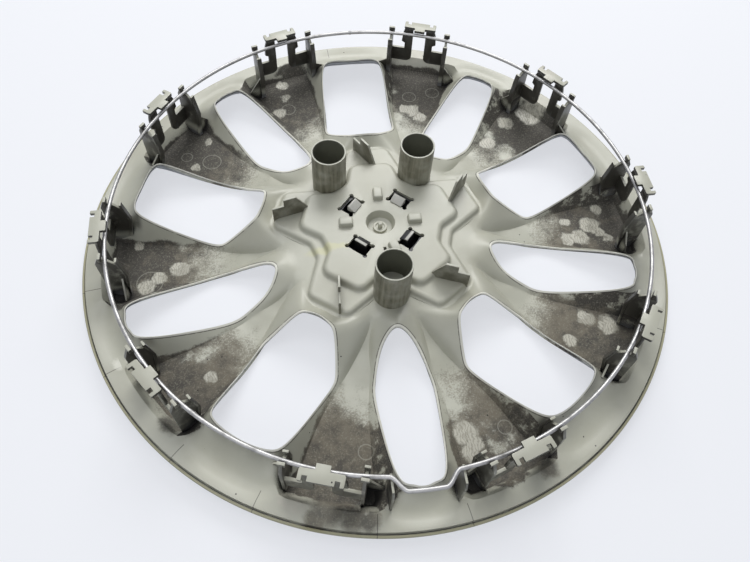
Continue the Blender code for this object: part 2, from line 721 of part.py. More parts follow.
def make_gusset(tree, side, tip):
    """Thin wall from a post out to the corner of the window beside it."""
    stations = [tip - i * (tip - POST_OFFSET) / 4 for i in range(5)]
    profile = [(side * y, foot_height(tree, GUSSET_RADIUS, side * y)) for y in stations]
    profile += [(side * POST_OFFSET, GUSSET_HEIGHT), (side * tip, profile[0][1] + GUSSET_TIP_RISE)]
    across = Matrix.Rotation(math.radians(90.0), 4, "Z") @ Matrix.Rotation(math.radians(90.0), 4, "X")
    frame = Matrix.Translation((GUSSET_RADIUS - GUSSET_WALL / 2, 0.0, 0.0)) @ across
    return extrude_profile(profile, GUSSET_WALL, frame)


def claw_outline():
    """Half of the claw seen along the radius, from the web to the bridge."""
    top = BRIDGE_TOP - BRIDGE_WALL / 2
    return [
        (POST_OFFSET, CLAW_BOTTOM),
        (CLAW_LEG_INNER + CLAW_CORNER, CLAW_BOTTOM),
        (CLAW_LEG_INNER + CLAW_CORNER * 0.3, CLAW_BOTTOM + CLAW_CORNER * 0.3),
        (CLAW_LEG_INNER, CLAW_BOTTOM + CLAW_CORNER),
        (CLAW_LEG_INNER, top),
        (CLAW_LEG_OUTER, top),
        (CLAW_BARB - 0.0008, top - 0.006),
        (CLAW_BARB, CLAW_BARB_HEIGHT + 0.0015),
        (CLAW_LEG_OUTER, CLAW_BARB_HEIGHT),
        (CLAW_LEG_OUTER, CLAW_WEB_TOP),
        (POST_OFFSET, CLAW_WEB_TOP),
    ]


def make_claw():
    """Sprung claw: two legs on webs, bridged over the wire."""
    across = Matrix.Rotation(math.radians(90.0), 4, "Z") @ Matrix.Rotation(math.radians(90.0), 4, "X")
    frame = Matrix.Translation((CLAW_INNER, 0.0, 0.0)) @ across
    legs = []
    for side in (1.0, -1.0):
        outline = [(side * y, z) for y, z in claw_outline()]
        legs.append(extrude_profile(outline, CLAW_WALL, frame))
    notch_outer = BRIDGE_HALF - BRIDGE_HOOK_WIDTH / 2
    notch_inner = notch_outer - BRIDGE_NOTCH_WIDTH
    notch_floor = BRIDGE_OUTER - BRIDGE_NOTCH_DEPTH
    half = [
        (TAB_INNER, TAB_HALF),
        (BRIDGE_INNER, TAB_HALF),
        (BRIDGE_INNER, BRIDGE_HALF),
        (BRIDGE_OUTER + 0.0005, BRIDGE_HALF + 0.0012),
        (BRIDGE_OUTER + 0.0005, notch_outer + 0.0006),
        (notch_floor, notch_outer),
        (notch_floor, notch_inner),
        (BRIDGE_OUTER - 0.0004, notch_inner),
        (BRIDGE_OUTER, notch_inner - 0.0020),
    ]
    plan = half + [(x, -y) for x, y in reversed(half)]
    return legs + [extrude_profile(plan, BRIDGE_WALL, Matrix.Translation((0.0, 0.0, BRIDGE_TOP - BRIDGE_WALL)))]


def make_clips(tree):
    """All ten clip groups; those on the windows' other side are mirrored."""
    parts = make_post(tree, 1.0) + make_post(tree, -1.0) + make_claw()
    parts += [make_gusset(tree, 1.0, GUSSET_NARROW_TIP), make_gusset(tree, -1.0, GUSSET_WIDE_TIP)]
    first = parts[0]
    for part in parts[1:]:
        first = boolean(first, part, "UNION")
    bmesh.ops.dissolve_limit(first, angle_limit=math.radians(0.5), verts=first.verts, edges=first.edges)
    other = copied(first, Matrix.Scale(-1.0, 4, (0.0, 1.0, 0.0)))
    bmesh.ops.reverse_faces(other, faces=other.faces)
    clips = []
    for k in range(PAIRS):
        clips.append(copied(first, turn(WIDE_AXIS + k * PITCH + SPOKE_OFFSET)))
        clips.append(copied(other, turn(WIDE_AXIS + k * PITCH - SPOKE_OFFSET)))
    return clips


def make_kink_rib(tree, offset):
    """Thin rib on the flange beside the valve kink."""
    seat = RING_HEIGHT - WIRE_RADIUS - CLEARANCE
    stations = [KINK_RIB_OUTER, (KINK_RIB_OUTER + KINK_RIB_INNER) / 2, KINK_RIB_INNER]
    profile = []
    for x in stations:
        p = turn(270.0) @ Vector((x, offset, 0.0))
        profile.append((x, surface_height(tree, p.x, p.y) - EMBED))
    profile += [(KINK_RIB_INNER, seat), (KINK_RIB_OUTER - 0.002, seat), (KINK_RIB_OUTER, seat - 0.006)]
    frame = upright(turn(270.0) @ Vector((0.0, offset + KINK_RIB_WALL / 2, 0.0)), 270.0)
    return extrude_profile(profile, KINK_RIB_WALL, frame)


# ---------------------------------------------------------------- cover

def make_cover(material):
    skin, tree = make_skin()
    cutters = [recess_cutter(angle) for angle in TUBE_ANGLES]
    for k in range(SLOT_COUNT):
        angle = SLOT_FIRST_ANGLE + k * 360.0 / SLOT_COUNT
        cutters.append(make_slot(angle, SLOT_RADIUS, SLOT_LENGTH, SLOT_WIDTH, SLOT_EAR))
    cutters.append(make_slot(KEYWAY_ANGLE, KEYWAY_RADIUS, KEYWAY_LENGTH, KEYWAY_WIDTH, 0.0))
    skin = boolean(skin, join_meshes(cutters), "DIFFERENCE", "MANIFOLD")
    additions = [make_tube(angle) for angle in TUBE_ANGLES]
    additions += [make_fin(WIDE_AXIS + k * PITCH) for k in range(PAIRS)]
    additions += [make_stop(angle) for angle in STOP_ANGLES]
    additions += make_boss()
    additions += make_clips(tree)
    body = boolean(skin, join_meshes(additions), "UNION", "MANIFOLD")
    for offset in KINK_RIB_OFFSETS:
        body = boolean(body, make_kink_rib(tree, offset), "UNION", "MANIFOLD")
    return make_object("cover", body, material)


# ---------------------------------------------------------------- ring

def ring_path():
    """Centre line of the wire, with the kink."""
    points = []
    for i in range(RING_SEGMENTS):
        degrees = KINK_AXIS + i * 360.0 / RING_SEGMENTS
        away = abs((degrees - KINK_AXIS + 180.0) % 360.0 - 180.0)
        t = (KINK_OUTER_ANGLE - away) / (KINK_OUTER_ANGLE - KINK_INNER_ANGLE)
        t = min(max(t, 0.0), 1.0)
        radius = RING_RADIUS + KINK_REACH * t * t * (3 - 2 * t)
        if away > KINK_OUTER_ANGLE or away < KINK_INNER_ANGLE:
            points.append((radius, degrees))
    for side in (1.0, -1.0):
        for t in (0.0, 0.2, 0.5, 0.8, 1.0):
            away = KINK_OUTER_ANGLE + (KINK_INNER_ANGLE - KINK_OUTER_ANGLE) * t
            radius = RING_RADIUS + KINK_REACH * t * t * (3 - 2 * t)
            points.append((radius, KINK_AXIS + side * away))
    spread = {}
    for radius, degrees in points:
        spread[round((degrees - KINK_AXIS) % 360.0, 4)] = radius
    return [(spread[key], KINK_AXIS + key) for key in sorted(spread)]


def make_ring(material):
    curve = bpy.data.curves.new("wire", "CURVE")
    curve.dimensions = "3D"
    curve.bevel_depth = WIRE_RADIUS
    curve.bevel_resolution = 1
    spline = curve.splines.new("POLY")
    path = ring_path()
    spline.points.add(len(path) - 1)
    for point, (radius, degrees) in zip(spline.points, path):
        point.co = (*polar(radius, degrees), RING_HEIGHT, 1.0)
    spline.use_cyclic_u = True
    holder = bpy.data.objects.new("wire", curve)
    bpy.context.scene.collection.objects.link(holder)
    graph = bpy.context.evaluated_depsgraph_get()
    mesh = bpy.data.meshes.new_from_object(holder.evaluated_get(graph))
    bm = bmesh.new()
    bm.from_mesh(mesh)
    bpy.data.objects.remove(holder, do_unlink=True)
    bmesh.ops.recalc_face_normals(bm, faces=bm.faces)
    return make_object("retention_ring", bm, material)


# ---------------------------------------------------------------- badge

def make_leg(degrees):
    """Snap leg in a slot: a wall with a ramp that hooks over the slot's inner edge."""
    inner = SLOT_RADIUS - SLOT_WIDTH / 2 + CLEARANCE
    outer = inner + LEG_SPREAD
    over = PLATE_TOP + CLEARANCE
    hook = inner - CLEARANCE - LEG_HOOK
    profile = [
        (outer + LEG_WALL, BADGE_BACK - EMBED),
        (outer + LEG_WALL, over + LEG_HOOK_HEIGHT),
        (outer, over + LEG_HOOK_HEIGHT),
        (hook, over + CLEARANCE * 2),
        (hook, over),
        (inner, over),
        (outer, over - LEG_SPREAD / 2),
        (outer, BADGE_BACK - EMBED),
    ]
    start = turn(degrees) @ Vector((0.0, LEG_WIDTH / 2, 0.0))
    return extrude_profile(profile, LEG_WIDTH, upright(start, degrees))


def make_badge(material):
    front = BADGE_BACK - BADGE_RIM
    profile = [
        (0.0, front - BADGE_CROWN),
        (BADGE_RADIUS * 0.5, front - BADGE_CROWN * 0.75),
        (BADGE_RADIUS * 0.9, front - BADGE_CROWN * 0.15),
        (BADGE_RADIUS, front + 0.0008),
        (BADGE_RADIUS, BADGE_BACK),
        (0.0, BADGE_BACK),
    ]
    body = turned_profile(profile, 40, Matrix())
    legs = []
    for k in range(SLOT_COUNT):
        legs.append(make_leg(SLOT_FIRST_ANGLE + k * 360.0 / SLOT_COUNT))
    body = boolean(body, join_meshes(legs), "UNION")
    return make_object("centre_badge", body, material)


clear_scene()
make_cover(make_material("silver_paint_plastic", (0.48, 0.47, 0.42), 0.45, 0.0))
make_ring(make_material("zinc_spring_wire", (0.62, 0.62, 0.64), 0.28, 1.0))
make_badge(make_material("badge_plastic", (0.42, 0.41, 0.38), 0.40, 0.0))
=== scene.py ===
"""Moulded plastic wheel cover, seen from the side that faces the wheel."""
import math

import bmesh
import bpy
import numpy as np
from mathutils import Matrix, Vector
from mathutils.bvhtree import BVHTree
from mathutils.geometry import delaunay_2d_cdt
from mathutils.kdtree import KDTree


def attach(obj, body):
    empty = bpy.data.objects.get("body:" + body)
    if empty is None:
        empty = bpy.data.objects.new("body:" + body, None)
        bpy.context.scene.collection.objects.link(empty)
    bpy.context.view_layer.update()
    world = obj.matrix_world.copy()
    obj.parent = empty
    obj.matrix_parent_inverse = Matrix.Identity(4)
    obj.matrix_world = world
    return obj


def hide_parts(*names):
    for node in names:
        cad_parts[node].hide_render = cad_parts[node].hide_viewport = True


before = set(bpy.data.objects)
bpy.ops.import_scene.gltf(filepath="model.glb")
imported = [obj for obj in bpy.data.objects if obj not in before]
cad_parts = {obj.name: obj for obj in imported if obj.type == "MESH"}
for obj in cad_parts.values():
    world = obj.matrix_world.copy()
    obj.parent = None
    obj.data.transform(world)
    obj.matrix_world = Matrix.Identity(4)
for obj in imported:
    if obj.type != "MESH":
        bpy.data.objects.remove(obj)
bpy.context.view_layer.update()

# Dish
# The cover is one injection moulding in grey polypropylene, 2.6 mm thick, with scooped collars that rise
# from flat spoke faces and a stepped five-lobed hub. This side was left as it was moulded.

PAIRS = 5
PITCH = 72.0
WIDE_AXIS = 90.0
WALL = 0.0026
FACE_TOP = 0.0026
HUB_TOP = 0.0216
FLANGE_TOP = 0.0134
HUB_END = 0.076
HUB_WAVE = 0.006
FACE_START = 0.120
FACE_END = 0.1985
FLANGE_START = 0.2050
FLANGE_EDGE = 0.21717
EDGE_STEP = 0.0004
CUP_RADIUS = 0.0110
CUP_DEPTH = 0.0070
CUP_TURN = 27.0
STEP_TOP = 0.0251
PLATE_TOP = 0.0295
TUBE_ANGLES = [54.0, 126.0, 270.0]
TUBE_CIRCLE = 0.05715
SLOT_ANGLES = [48.0, 138.0, 228.0, 318.0]
RIM_POINTS = 300
WIDE_POINTS = 104
NARROW_POINTS = 96
CUP_POINTS = 60

# Half outlines of the windows, hub end first: opening (x, y, z), shoulder of the collar (x, y, z) and its
# foot on the dish (x, y). Then how far down the collar each ring of points lies, from 0 to 1.
WIDE_WINDOW = [
    ((0.0905, 0.0000, 0.0298), (0.0865, 0.0000, 0.0255), (0.0820, 0.0000)),
    ((0.0918, 0.0090, 0.0282), (0.0865, 0.0115, 0.0245), (0.0805, 0.0145)),
    ((0.0956, 0.0149, 0.0245), (0.0835, 0.0220, 0.0215), (0.0705, 0.0280)),
    ((0.1113, 0.0250, 0.0100), (0.1015, 0.0292, 0.0110), (0.0920, 0.0332)),
    ((0.1217, 0.0288, 0.0056), (0.1184, 0.0310, 0.0042), (0.1150, 0.0330)),
    ((0.1455, 0.0283, 0.0105), (0.1458, 0.0310, 0.0063), (0.1462, 0.0336)),
    ((0.1760, 0.0262, 0.0226), (0.1795, 0.0330, 0.0120), (0.1829, 0.0392)),
    ((0.1834, 0.0214, 0.0259), (0.1920, 0.0290, 0.0150), (0.2000, 0.0386)),
    ((0.1860, 0.0120, 0.0252), (0.1985, 0.0180, 0.0130), (0.2115, 0.0265)),
    ((0.1867, 0.0000, 0.0240), (0.2005, 0.0000, 0.0123), (0.2153, 0.0000)),
]
NARROW_WINDOW = [
    ((0.0848, 0.0000, 0.0226), (0.0780, 0.0000, 0.0228), (0.0700, 0.0000)),
    ((0.0895, 0.0075, 0.0189), (0.0820, 0.0100, 0.0198), (0.0735, 0.0120)),
    ((0.0988, 0.0133, 0.0124), (0.0935, 0.0166, 0.0131), (0.0880, 0.0195)),
    ((0.1126, 0.0179, 0.0077), (0.1103, 0.0199, 0.0064), (0.1080, 0.0217)),
    ((0.1245, 0.0201, 0.0053), (0.1247, 0.0224, 0.0040), (0.1250, 0.0245)),
    ((0.1502, 0.0192, 0.0100), (0.1490, 0.0233, 0.0063), (0.1475, 0.0272)),
    ((0.1871, 0.0138, 0.0209), (0.1862, 0.0215, 0.0120), (0.1847, 0.0293)),
    ((0.1915, 0.0072, 0.0213), (0.1995, 0.0170, 0.0126), (0.2075, 0.0275)),
    ((0.1926, 0.0036, 0.0210), (0.2025, 0.0088, 0.0122), (0.2142, 0.0150)),
    ((0.1930, 0.0000, 0.0207), (0.2035, 0.0000, 0.0120), (0.2153, 0.0000)),
]
COLLAR_STEPS = [0.03, 0.09, 0.18, 0.30, 0.43, 0.57, 0.72, 0.86]

# Hub rosette: corners of half a lobe as (angle, radius, fillet), and the sides of its two steps as
# (distance outward, height). The cup's side is (outward, up) from its rim on the plate.
STEP_CORNERS = [(11.1, 0.0782, 0.0045), (28.1, 0.0530, 0.0090)]
PLATE_CORNERS = [(14.4, 0.0588, 0.0062), (26.1, 0.0442, 0.0100)]
STEP_SIDE = [
    (0.0036, HUB_TOP), (0.0029, 0.0217), (0.0024, 0.0221), (0.0019, 0.0229), (0.0015, 0.0238),
    (0.0009, 0.0245), (0.0001, 0.0249), (-0.0008, STEP_TOP), (-0.0018, STEP_TOP),
]
PLATE_SIDE = [
    (0.0042, STEP_TOP), (0.0034, 0.0252), (0.0028, 0.0256), (0.0023, 0.0264), (0.0019, 0.0274),
    (0.0014, 0.0283), (0.0006, 0.0290), (-0.0004, 0.0294), (-0.0014, PLATE_TOP), (-0.0024, PLATE_TOP),
]
CUP_SIDE = [
    (0.0004, 0.0), (0.0, -0.0001), (-0.0003, -0.0005), (-0.0015, -0.0060), (-0.0019, -0.0067),
    (-0.0026, -CUP_DEPTH),
]


def polar(radius, degrees):
    return radius * math.cos(math.radians(degrees)), radius * math.sin(math.radians(degrees))


def about_z(degrees):
    return Matrix.Rotation(math.radians(degrees), 4, "Z")


def smooth_loop(points, lengths, count):
    """Closed cubic spline through the points, with the given parameter steps."""
    points = np.array(points, dtype=float)
    n = len(points)
    system = np.zeros((n, n))
    for i in range(n):
        system[i, i - 1] += lengths[i - 1]
        system[i, i] += 2 * (lengths[i - 1] + lengths[i])
        system[i, (i + 1) % n] += lengths[i]
    slope = (np.roll(points, -1, 0) - points) / lengths[:, None]
    bend = np.linalg.solve(system, 6 * (slope - np.roll(slope, 1, 0)))
    start = np.concatenate([[0.0], np.cumsum(lengths)])
    curve = []
    for t in np.linspace(0, start[-1], count, endpoint=False):
        i = min(int(np.searchsorted(start, t, side="right")) - 1, n - 1)
        a = (start[i + 1] - t) / lengths[i]
        b = 1 - a
        cubic = ((a ** 3 - a) * bend[i] + (b ** 3 - b) * bend[(i + 1) % n]) * lengths[i] ** 2 / 6
        curve.append(a * points[i] + b * points[(i + 1) % n] + cubic)
    return curve


def ease(share):
    """From 0 to 1, half as a straight line and half as an S."""
    share = min(max(share, 0.0), 1.0)
    return 0.5 * share + 0.5 * share * share * (3 - 2 * share)


def dish_height(x, y):
    """Hub, spoke faces and flange, before the collars are raised."""
    radius = math.hypot(x, y)
    lobe = PAIRS * (math.degrees(math.atan2(y, x)) - WIDE_AXIS)
    hub_end = HUB_END + HUB_WAVE * math.cos(math.radians(lobe))
    fall = ease((radius - hub_end) / (FACE_START - hub_end))
    rise = ease((radius - FACE_END) / (FLANGE_START - FACE_END))
    return HUB_TOP + (FACE_TOP - HUB_TOP) * fall + (FLANGE_TOP - FACE_TOP) * rise


def window_lines(rows, count, degrees):
    """Opening, shoulder and foot of one window, all the way round."""
    lines = []
    for i in range(3):
        half = [tuple(row[i]) + (0.0,) * (i == 2) for row in rows]
        lines.append(half + [(x, -y, z) for x, y, z in half[-2:0:-1]])
    shoulder = np.array(lines[1])
    lengths = np.sqrt(np.linalg.norm(np.roll(shoulder, -1, 0) - shoulder, axis=1))
    curves = [smooth_loop(line, lengths, count) for line in lines]
    edge, shoulder, foot = [[about_z(degrees) @ Vector(p) for p in curve] for curve in curves]
    for point in foot:
        point.z = dish_height(point.x, point.y)
    return edge, shoulder, foot


def rosette(corners, outward, height, steps=9):
    """Five-lobed outline with rounded corners."""
    loop = []
    for k in range(PAIRS):
        middle = WIDE_AXIS + k * PITCH
        for way, half in ((-1.0, corners[::-1]), (1.0, corners)):
            for angle, radius, fillet in half:
                loop.append((Vector(polar(radius, middle + way * angle)), fillet))
    ring = []
    for i, (corner, fillet) in enumerate(loop):
        before = (loop[i - 1][0] - corner).normalized()
        after = (loop[(i + 1) % len(loop)][0] - corner).normalized()
        half = before.angle(after) / 2
        centre = corner + (before + after).normalized() * fillet / math.sin(half)
        reach = fillet + outward * math.copysign(1.0, after.cross(before))
        first = corner + before * fillet / math.tan(half) - centre
        last = corner + after * fillet / math.tan(half) - centre
        for j in range(steps):
            point = centre + first.slerp(last, j / (steps - 1)).normalized() * reach
            ring.append(Vector((point.x, point.y, height)))
    return ring


def circle(radius, height, count, first=WIDE_AXIS):
    return [Vector((*polar(radius, first + i * 360.0 / count), height)) for i in range(count)]


def within(points, loop):
    """Which of the points lie inside the loop, seen from above."""
    hit = np.zeros(len(points), dtype=bool)
    for a, b in zip(loop, loop[1:] + loop[:1]):
        crosses = (a.y > points[:, 1]) != (b.y > points[:, 1])
        hit ^= crosses & (points[:, 0] < a.x + (points[:, 1] - a.y) * (b.x - a.x) / ((b.y - a.y) or 1.0))
    return hit


def add_loop(bm, loop):
    return [bm.verts.new(point) for point in loop]


def band(bm, outer, inner):
    """Faces between two loops; the outer may have several times the points."""
    ratio = len(outer) // len(inner)
    wrapped = list(outer) + [outer[0]]
    for i in range(len(inner)):
        bm.faces.new(wrapped[i * ratio:(i + 1) * ratio + 1] + [inner[(i + 1) % len(inner)], inner[i]])


def add_bands(bm, start, loops):
    """Bands from a ring of vertices through each loop in turn; gives the new rings."""
    rings = []
    for loop in loops:
        rings.append(add_loop(bm, loop))
        band(bm, start, rings[-1])
        start = rings[-1]
    return rings


def add_object(name, data):
    """An object with this data, in the scene, at the origin."""
    item = bpy.data.objects.new(name, data)
    bpy.context.scene.collection.objects.link(item)
    return item


bm = bmesh.new()
windows = []
for k in range(PAIRS):
    windows.append(window_lines(WIDE_WINDOW, WIDE_POINTS, WIDE_AXIS + k * PITCH))
    windows.append(window_lines(NARROW_WINDOW, NARROW_POINTS, WIDE_AXIS + PITCH / 2 + k * PITCH))
rim = add_loop(bm, circle(FLANGE_EDGE, FLANGE_TOP, RIM_POINTS))
feet = [add_loop(bm, foot) for _, _, foot in windows]
hub_foot = add_loop(bm, rosette(STEP_CORNERS, *STEP_SIDE[0]))

# The dish between the rim, the windows and the hub: points 3.4 mm apart, clear of the outlines.
SPACING = 0.0034
CLEAR = 0.55 * SPACING
GRID_START = 0.060
rim_line = [v.co.copy() for v in rim]
borders = [[v.co.copy() for v in loop] for loop in feet + [hub_foot]]


def on_dish(points):
    """Which of the points lie inside the rim, off the windows and the hub."""
    keep = within(points, rim_line)
    for border in borders:
        keep &= ~within(points, border)
    return keep


grid = []
for i in range(int((FLANGE_EDGE - GRID_START) / SPACING)):
    radius = GRID_START + i * SPACING
    around = 2 * PAIRS * int(round(math.tau * radius / SPACING / PAIRS / 2))
    grid += [polar(radius, WIDE_AXIS + (j + (i % 2) / 2) * 360.0 / around) for j in range(around)]
grid = np.array(grid)
grid = grid[on_dish(grid)]
outlines = np.array([[p.x, p.y] for line in borders + [rim_line] for p in line])
near = np.array([np.min(np.hypot(*(outlines - point).T)) for point in grid])
filling = [bm.verts.new((x, y, dish_height(x, y))) for x, y in grid[near > CLEAR]]
verts = []
lines = []
for loop in [rim] + feet + [hub_foot]:
    lines += [(len(verts) + i, len(verts) + (i + 1) % len(loop)) for i in range(len(loop))]
    verts += loop
verts += filling
_, _, faces, origins, _, _ = delaunay_2d_cdt([v.co.to_2d() for v in verts], lines, [], 0, 1e-7)
middles = np.array([sum((verts[origins[i][0]].co for i in face), Vector())[:2] for face in faces]) / 3
for face, wanted in zip(faces, on_dish(middles)):
    if wanted:
        bm.faces.new([verts[origins[i][0]] for i in face])

# The slope from the hub to the spoke faces is smoothed, in height only.
SMOOTHING_PASSES = 160
slope = [v for v in filling + sum(feet, []) if v.co.to_2d().length < FACE_START]
for _ in range(SMOOTHING_PASSES):
    bmesh.ops.smooth_vert(bm, verts=slope, factor=0.5, use_axis_z=True)

# Collars, from each foot up to the opening, on a parabola through the shoulder. The wall's thickness
# goes straight down at the opening, and along the normal from 0.3 of the way to the foot.
LEAN_END = 0.3
shares = COLLAR_STEPS[::-1]
lean = {}
openings = []
for (edge, shoulder, _), foot in zip(windows, feet):
    loops = []
    for t in shares:
        loops.append([(1 - t) * (1 - 2 * t) * e + 4 * t * (1 - t) * s + t * (2 * t - 1) * f.co
                      for e, s, f in zip(edge, shoulder, foot)])
    rings = add_bands(bm, foot, loops)
    for t, ring in zip(shares, rings):
        lean.update({v: min(t / LEAN_END, 1.0) for v in ring})
    openings.append((edge, rings[-1]))

# Hub steps and the cup in their middle. Their wall's thickness goes straight down.
loops = [rosette(STEP_CORNERS, *side) for side in STEP_SIDE[1:]]
loops += [rosette(PLATE_CORNERS, *side) for side in PLATE_SIDE]
for out, up in CUP_SIDE:
    loops.append(circle(CUP_RADIUS + out, PLATE_TOP + up, CUP_POINTS, WIDE_AXIS - CUP_TURN))
rings = add_bands(bm, hub_foot, loops)
for ring in [hub_foot] + rings:
    lean.update({v: 0.0 for v in ring})
bm.faces.new(rings[-1])
bmesh.ops.recalc_face_normals(bm, faces=bm.faces)
if sum(face.normal.z for face in bm.faces) < 0:
    bmesh.ops.reverse_faces(bm, faces=bm.faces)
bm.normal_update()
dish_tree = BVHTree.FromBMesh(bm)

# The painted sheet under it, the window edges, and the lip with its groove.
top_faces = list(bm.faces)
lower = {}
for v in list(bm.verts):
    drop = Vector((0.0, 0.0, 1.0)).lerp(v.normal, lean.get(v, 1.0)).normalized()
    lower[v] = bm.verts.new(v.co - drop * WALL)
for face in top_faces:
    bm.faces.new([lower[v] for v in reversed(face.verts)])
for edge, ring in openings:
    walls = [[p - Vector((0.0, 0.0, down)) for p in edge] for down in (EDGE_STEP, WALL - EDGE_STEP)]
    rings = add_bands(bm, ring, walls)
    band(bm, rings[-1], [lower[v] for v in ring])
# The lip, as (outward, up) from the flange's edge.
LIP = [
    (0.0001, -0.0002), (0.0002, -0.0033), (0.0010, -0.0034), (0.0012, -0.0024), (0.0014, -0.00205),
    (0.0019, -0.0020), (0.0025, -0.0021), (0.0028, -0.0025), (0.0028, -0.0047), (0.0024, -0.0053),
    (0.0002, -0.0058),
]
rings = add_bands(bm, rim, [circle(FLANGE_EDGE + out, FLANGE_TOP + up, RIM_POINTS) for out, up in LIP])
band(bm, rings[-1], [lower[v] for v in rim])
bmesh.ops.recalc_face_normals(bm, faces=bm.faces)
mesh = bpy.data.meshes.new("dish")
bm.to_mesh(mesh)
bm.free()
dish = add_object("dish", mesh)

# Openings for the badge's legs with round relief corners, a keyway, and the nut recesses under the stud
# tubes. The middles are (outward, across, up), and the sizes lie the same way.
SLOT_MIDDLE = (0.0268, 0.0, 0.0250)
SLOT_SIZE = (0.0116, 0.0160, 0.0300)
RELIEF_MIDDLE = (0.0262, 0.0, 0.0251)
RELIEF_CORNERS = ((0.0057, 0.0078), (0.0057, -0.0078), (-0.0046, 0.0076), (-0.0046, -0.0076))
RELIEF_RADIUS = 0.0017
KEYWAY_MIDDLE = (0.0, -0.0262, 0.0250)
KEYWAY_SIZE = (0.0022, 0.0070, 0.0310)
RECESS_RADIUS = 0.0112
RECESS_MIDDLE = 0.0240
CUT_DEPTH = 0.0300
cutters = []


def add_cutter(place):
    """Put the new primitive in its place, to be cut from the dish."""
    bpy.context.object.data.transform(place)
    cutters.append(bpy.context.object)


def pick(piece):
    """Select this piece only, and make it active."""
    bpy.ops.object.select_all(action="DESELECT")
    piece.select_set(True)
    bpy.context.view_layer.objects.active = piece


bpy.ops.object.select_all(action="DESELECT")
for degrees in SLOT_ANGLES:
    bpy.ops.mesh.primitive_cube_add(size=1.0)
    add_cutter(about_z(degrees) @ Matrix.Translation(SLOT_MIDDLE) @ Matrix.Diagonal((*SLOT_SIZE, 1.0)))
    for corner in RELIEF_CORNERS:
        bpy.ops.mesh.primitive_cylinder_add(vertices=20, radius=RELIEF_RADIUS, depth=CUT_DEPTH)
        add_cutter(about_z(degrees) @ Matrix.Translation(Vector(RELIEF_MIDDLE) + Vector((*corner, 0.0))))
bpy.ops.mesh.primitive_cube_add(size=1.0)
add_cutter(Matrix.Translation(KEYWAY_MIDDLE) @ Matrix.Diagonal((*KEYWAY_SIZE, 1.0)))
for degrees in TUBE_ANGLES:
    bpy.ops.mesh.primitive_cylinder_add(vertices=64, radius=RECESS_RADIUS, depth=CUT_DEPTH)
    add_cutter(Matrix.Translation((*polar(TUBE_CIRCLE, degrees), RECESS_MIDDLE)))
for cutter in cutters:
    pick(dish)
    cut = dish.modifiers.new("cut", "BOOLEAN")
    cut.solver = "MANIFOLD"
    cut.operation = "DIFFERENCE"
    cut.object = cutter
    bpy.ops.object.modifier_apply(modifier=cut.name)
    bpy.data.objects.remove(cutter, do_unlink=True)
bpy.ops.object.shade_smooth_by_angle(angle=math.radians(33.0))

# How near each point is to a window's edge: 1 on it, 0 from 6 mm away.
EDGE_REACH = 0.006
edge_points = []
for edge, _, _ in windows:
    for p, q in zip(edge, edge[1:] + edge[:1]):
        edge_points += [p.lerp(q, i / 6) for i in range(6)]
window_edges = KDTree(len(edge_points))
for number, point in enumerate(edge_points):
    window_edges.insert(point, number)
window_edges.balance()
nearness = dish.data.attributes.new("window_edge", "FLOAT", "POINT")
for v in dish.data.vertices:
    nearness.data[v.index].value = max(1.0 - window_edges.find(v.co)[2] / EDGE_REACH, 0.0)
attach(dish, "root")
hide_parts("cover")

# Polypropylene straight from the mould is satin and a little warm. Brake dust has baked onto the spoke
# faces, in speckles and thickly near the clips, and drops and fingers have left pale marks in it.


def linear(code):
    """sRGB hex to linear RGBA."""
    parts = [int(code[i:i + 2], 16) / 255 for i in (1, 3, 5)]
    return tuple(c / 12.92 if c <= 0.04045 else ((c + 0.055) / 1.055) ** 2.4 for c in parts) + (1.0,)


def node(tree, kind, inputs=None, **settings):
    """Add a node; an input is a value, a node, or a (node, output) pair."""
    item = tree.nodes.new(kind)
    for name, value in settings.items():
        setattr(item, name, value)
    for name, value in (inputs or {}).items():
        if isinstance(value, bpy.types.Node):
            value = next(out for out in value.outputs if out.enabled)
        elif isinstance(value, tuple) and isinstance(value[0], bpy.types.Node):
            value = value[0].outputs[value[1]]
        if isinstance(value, bpy.types.NodeSocket):
            tree.links.new(value, item.inputs[name])
        else:
            item.inputs[name].default_value = value
    return item


def new_material(name):
    """A material with no nodes yet, and its tree."""
    material = bpy.data.materials.new(name)
    material.use_nodes = True
    material.node_tree.nodes.clear()
    return material, material.node_tree


PLASTIC = linear("#b4b4a6")
PLASTIC_STAIN = linear("#a09e8d")
DUST_BROWN = linear("#665f52")
DARK_DUST_AND_SHADE = linear("#302b27")
SOOT_AND_SHADE = linear("#2a2723")
SHADE_BLACK = linear("#100f0d")
EDGE_PAINT = linear("#9b9777")
FACE_PAINT = linear("#b9bbbd")
RUBBED = linear("#b4b1a3")
PALE_WEAR_AND_HIGHLIGHT = linear("#deddd2")
SMEAR_YELLOW = linear("#c9c684")

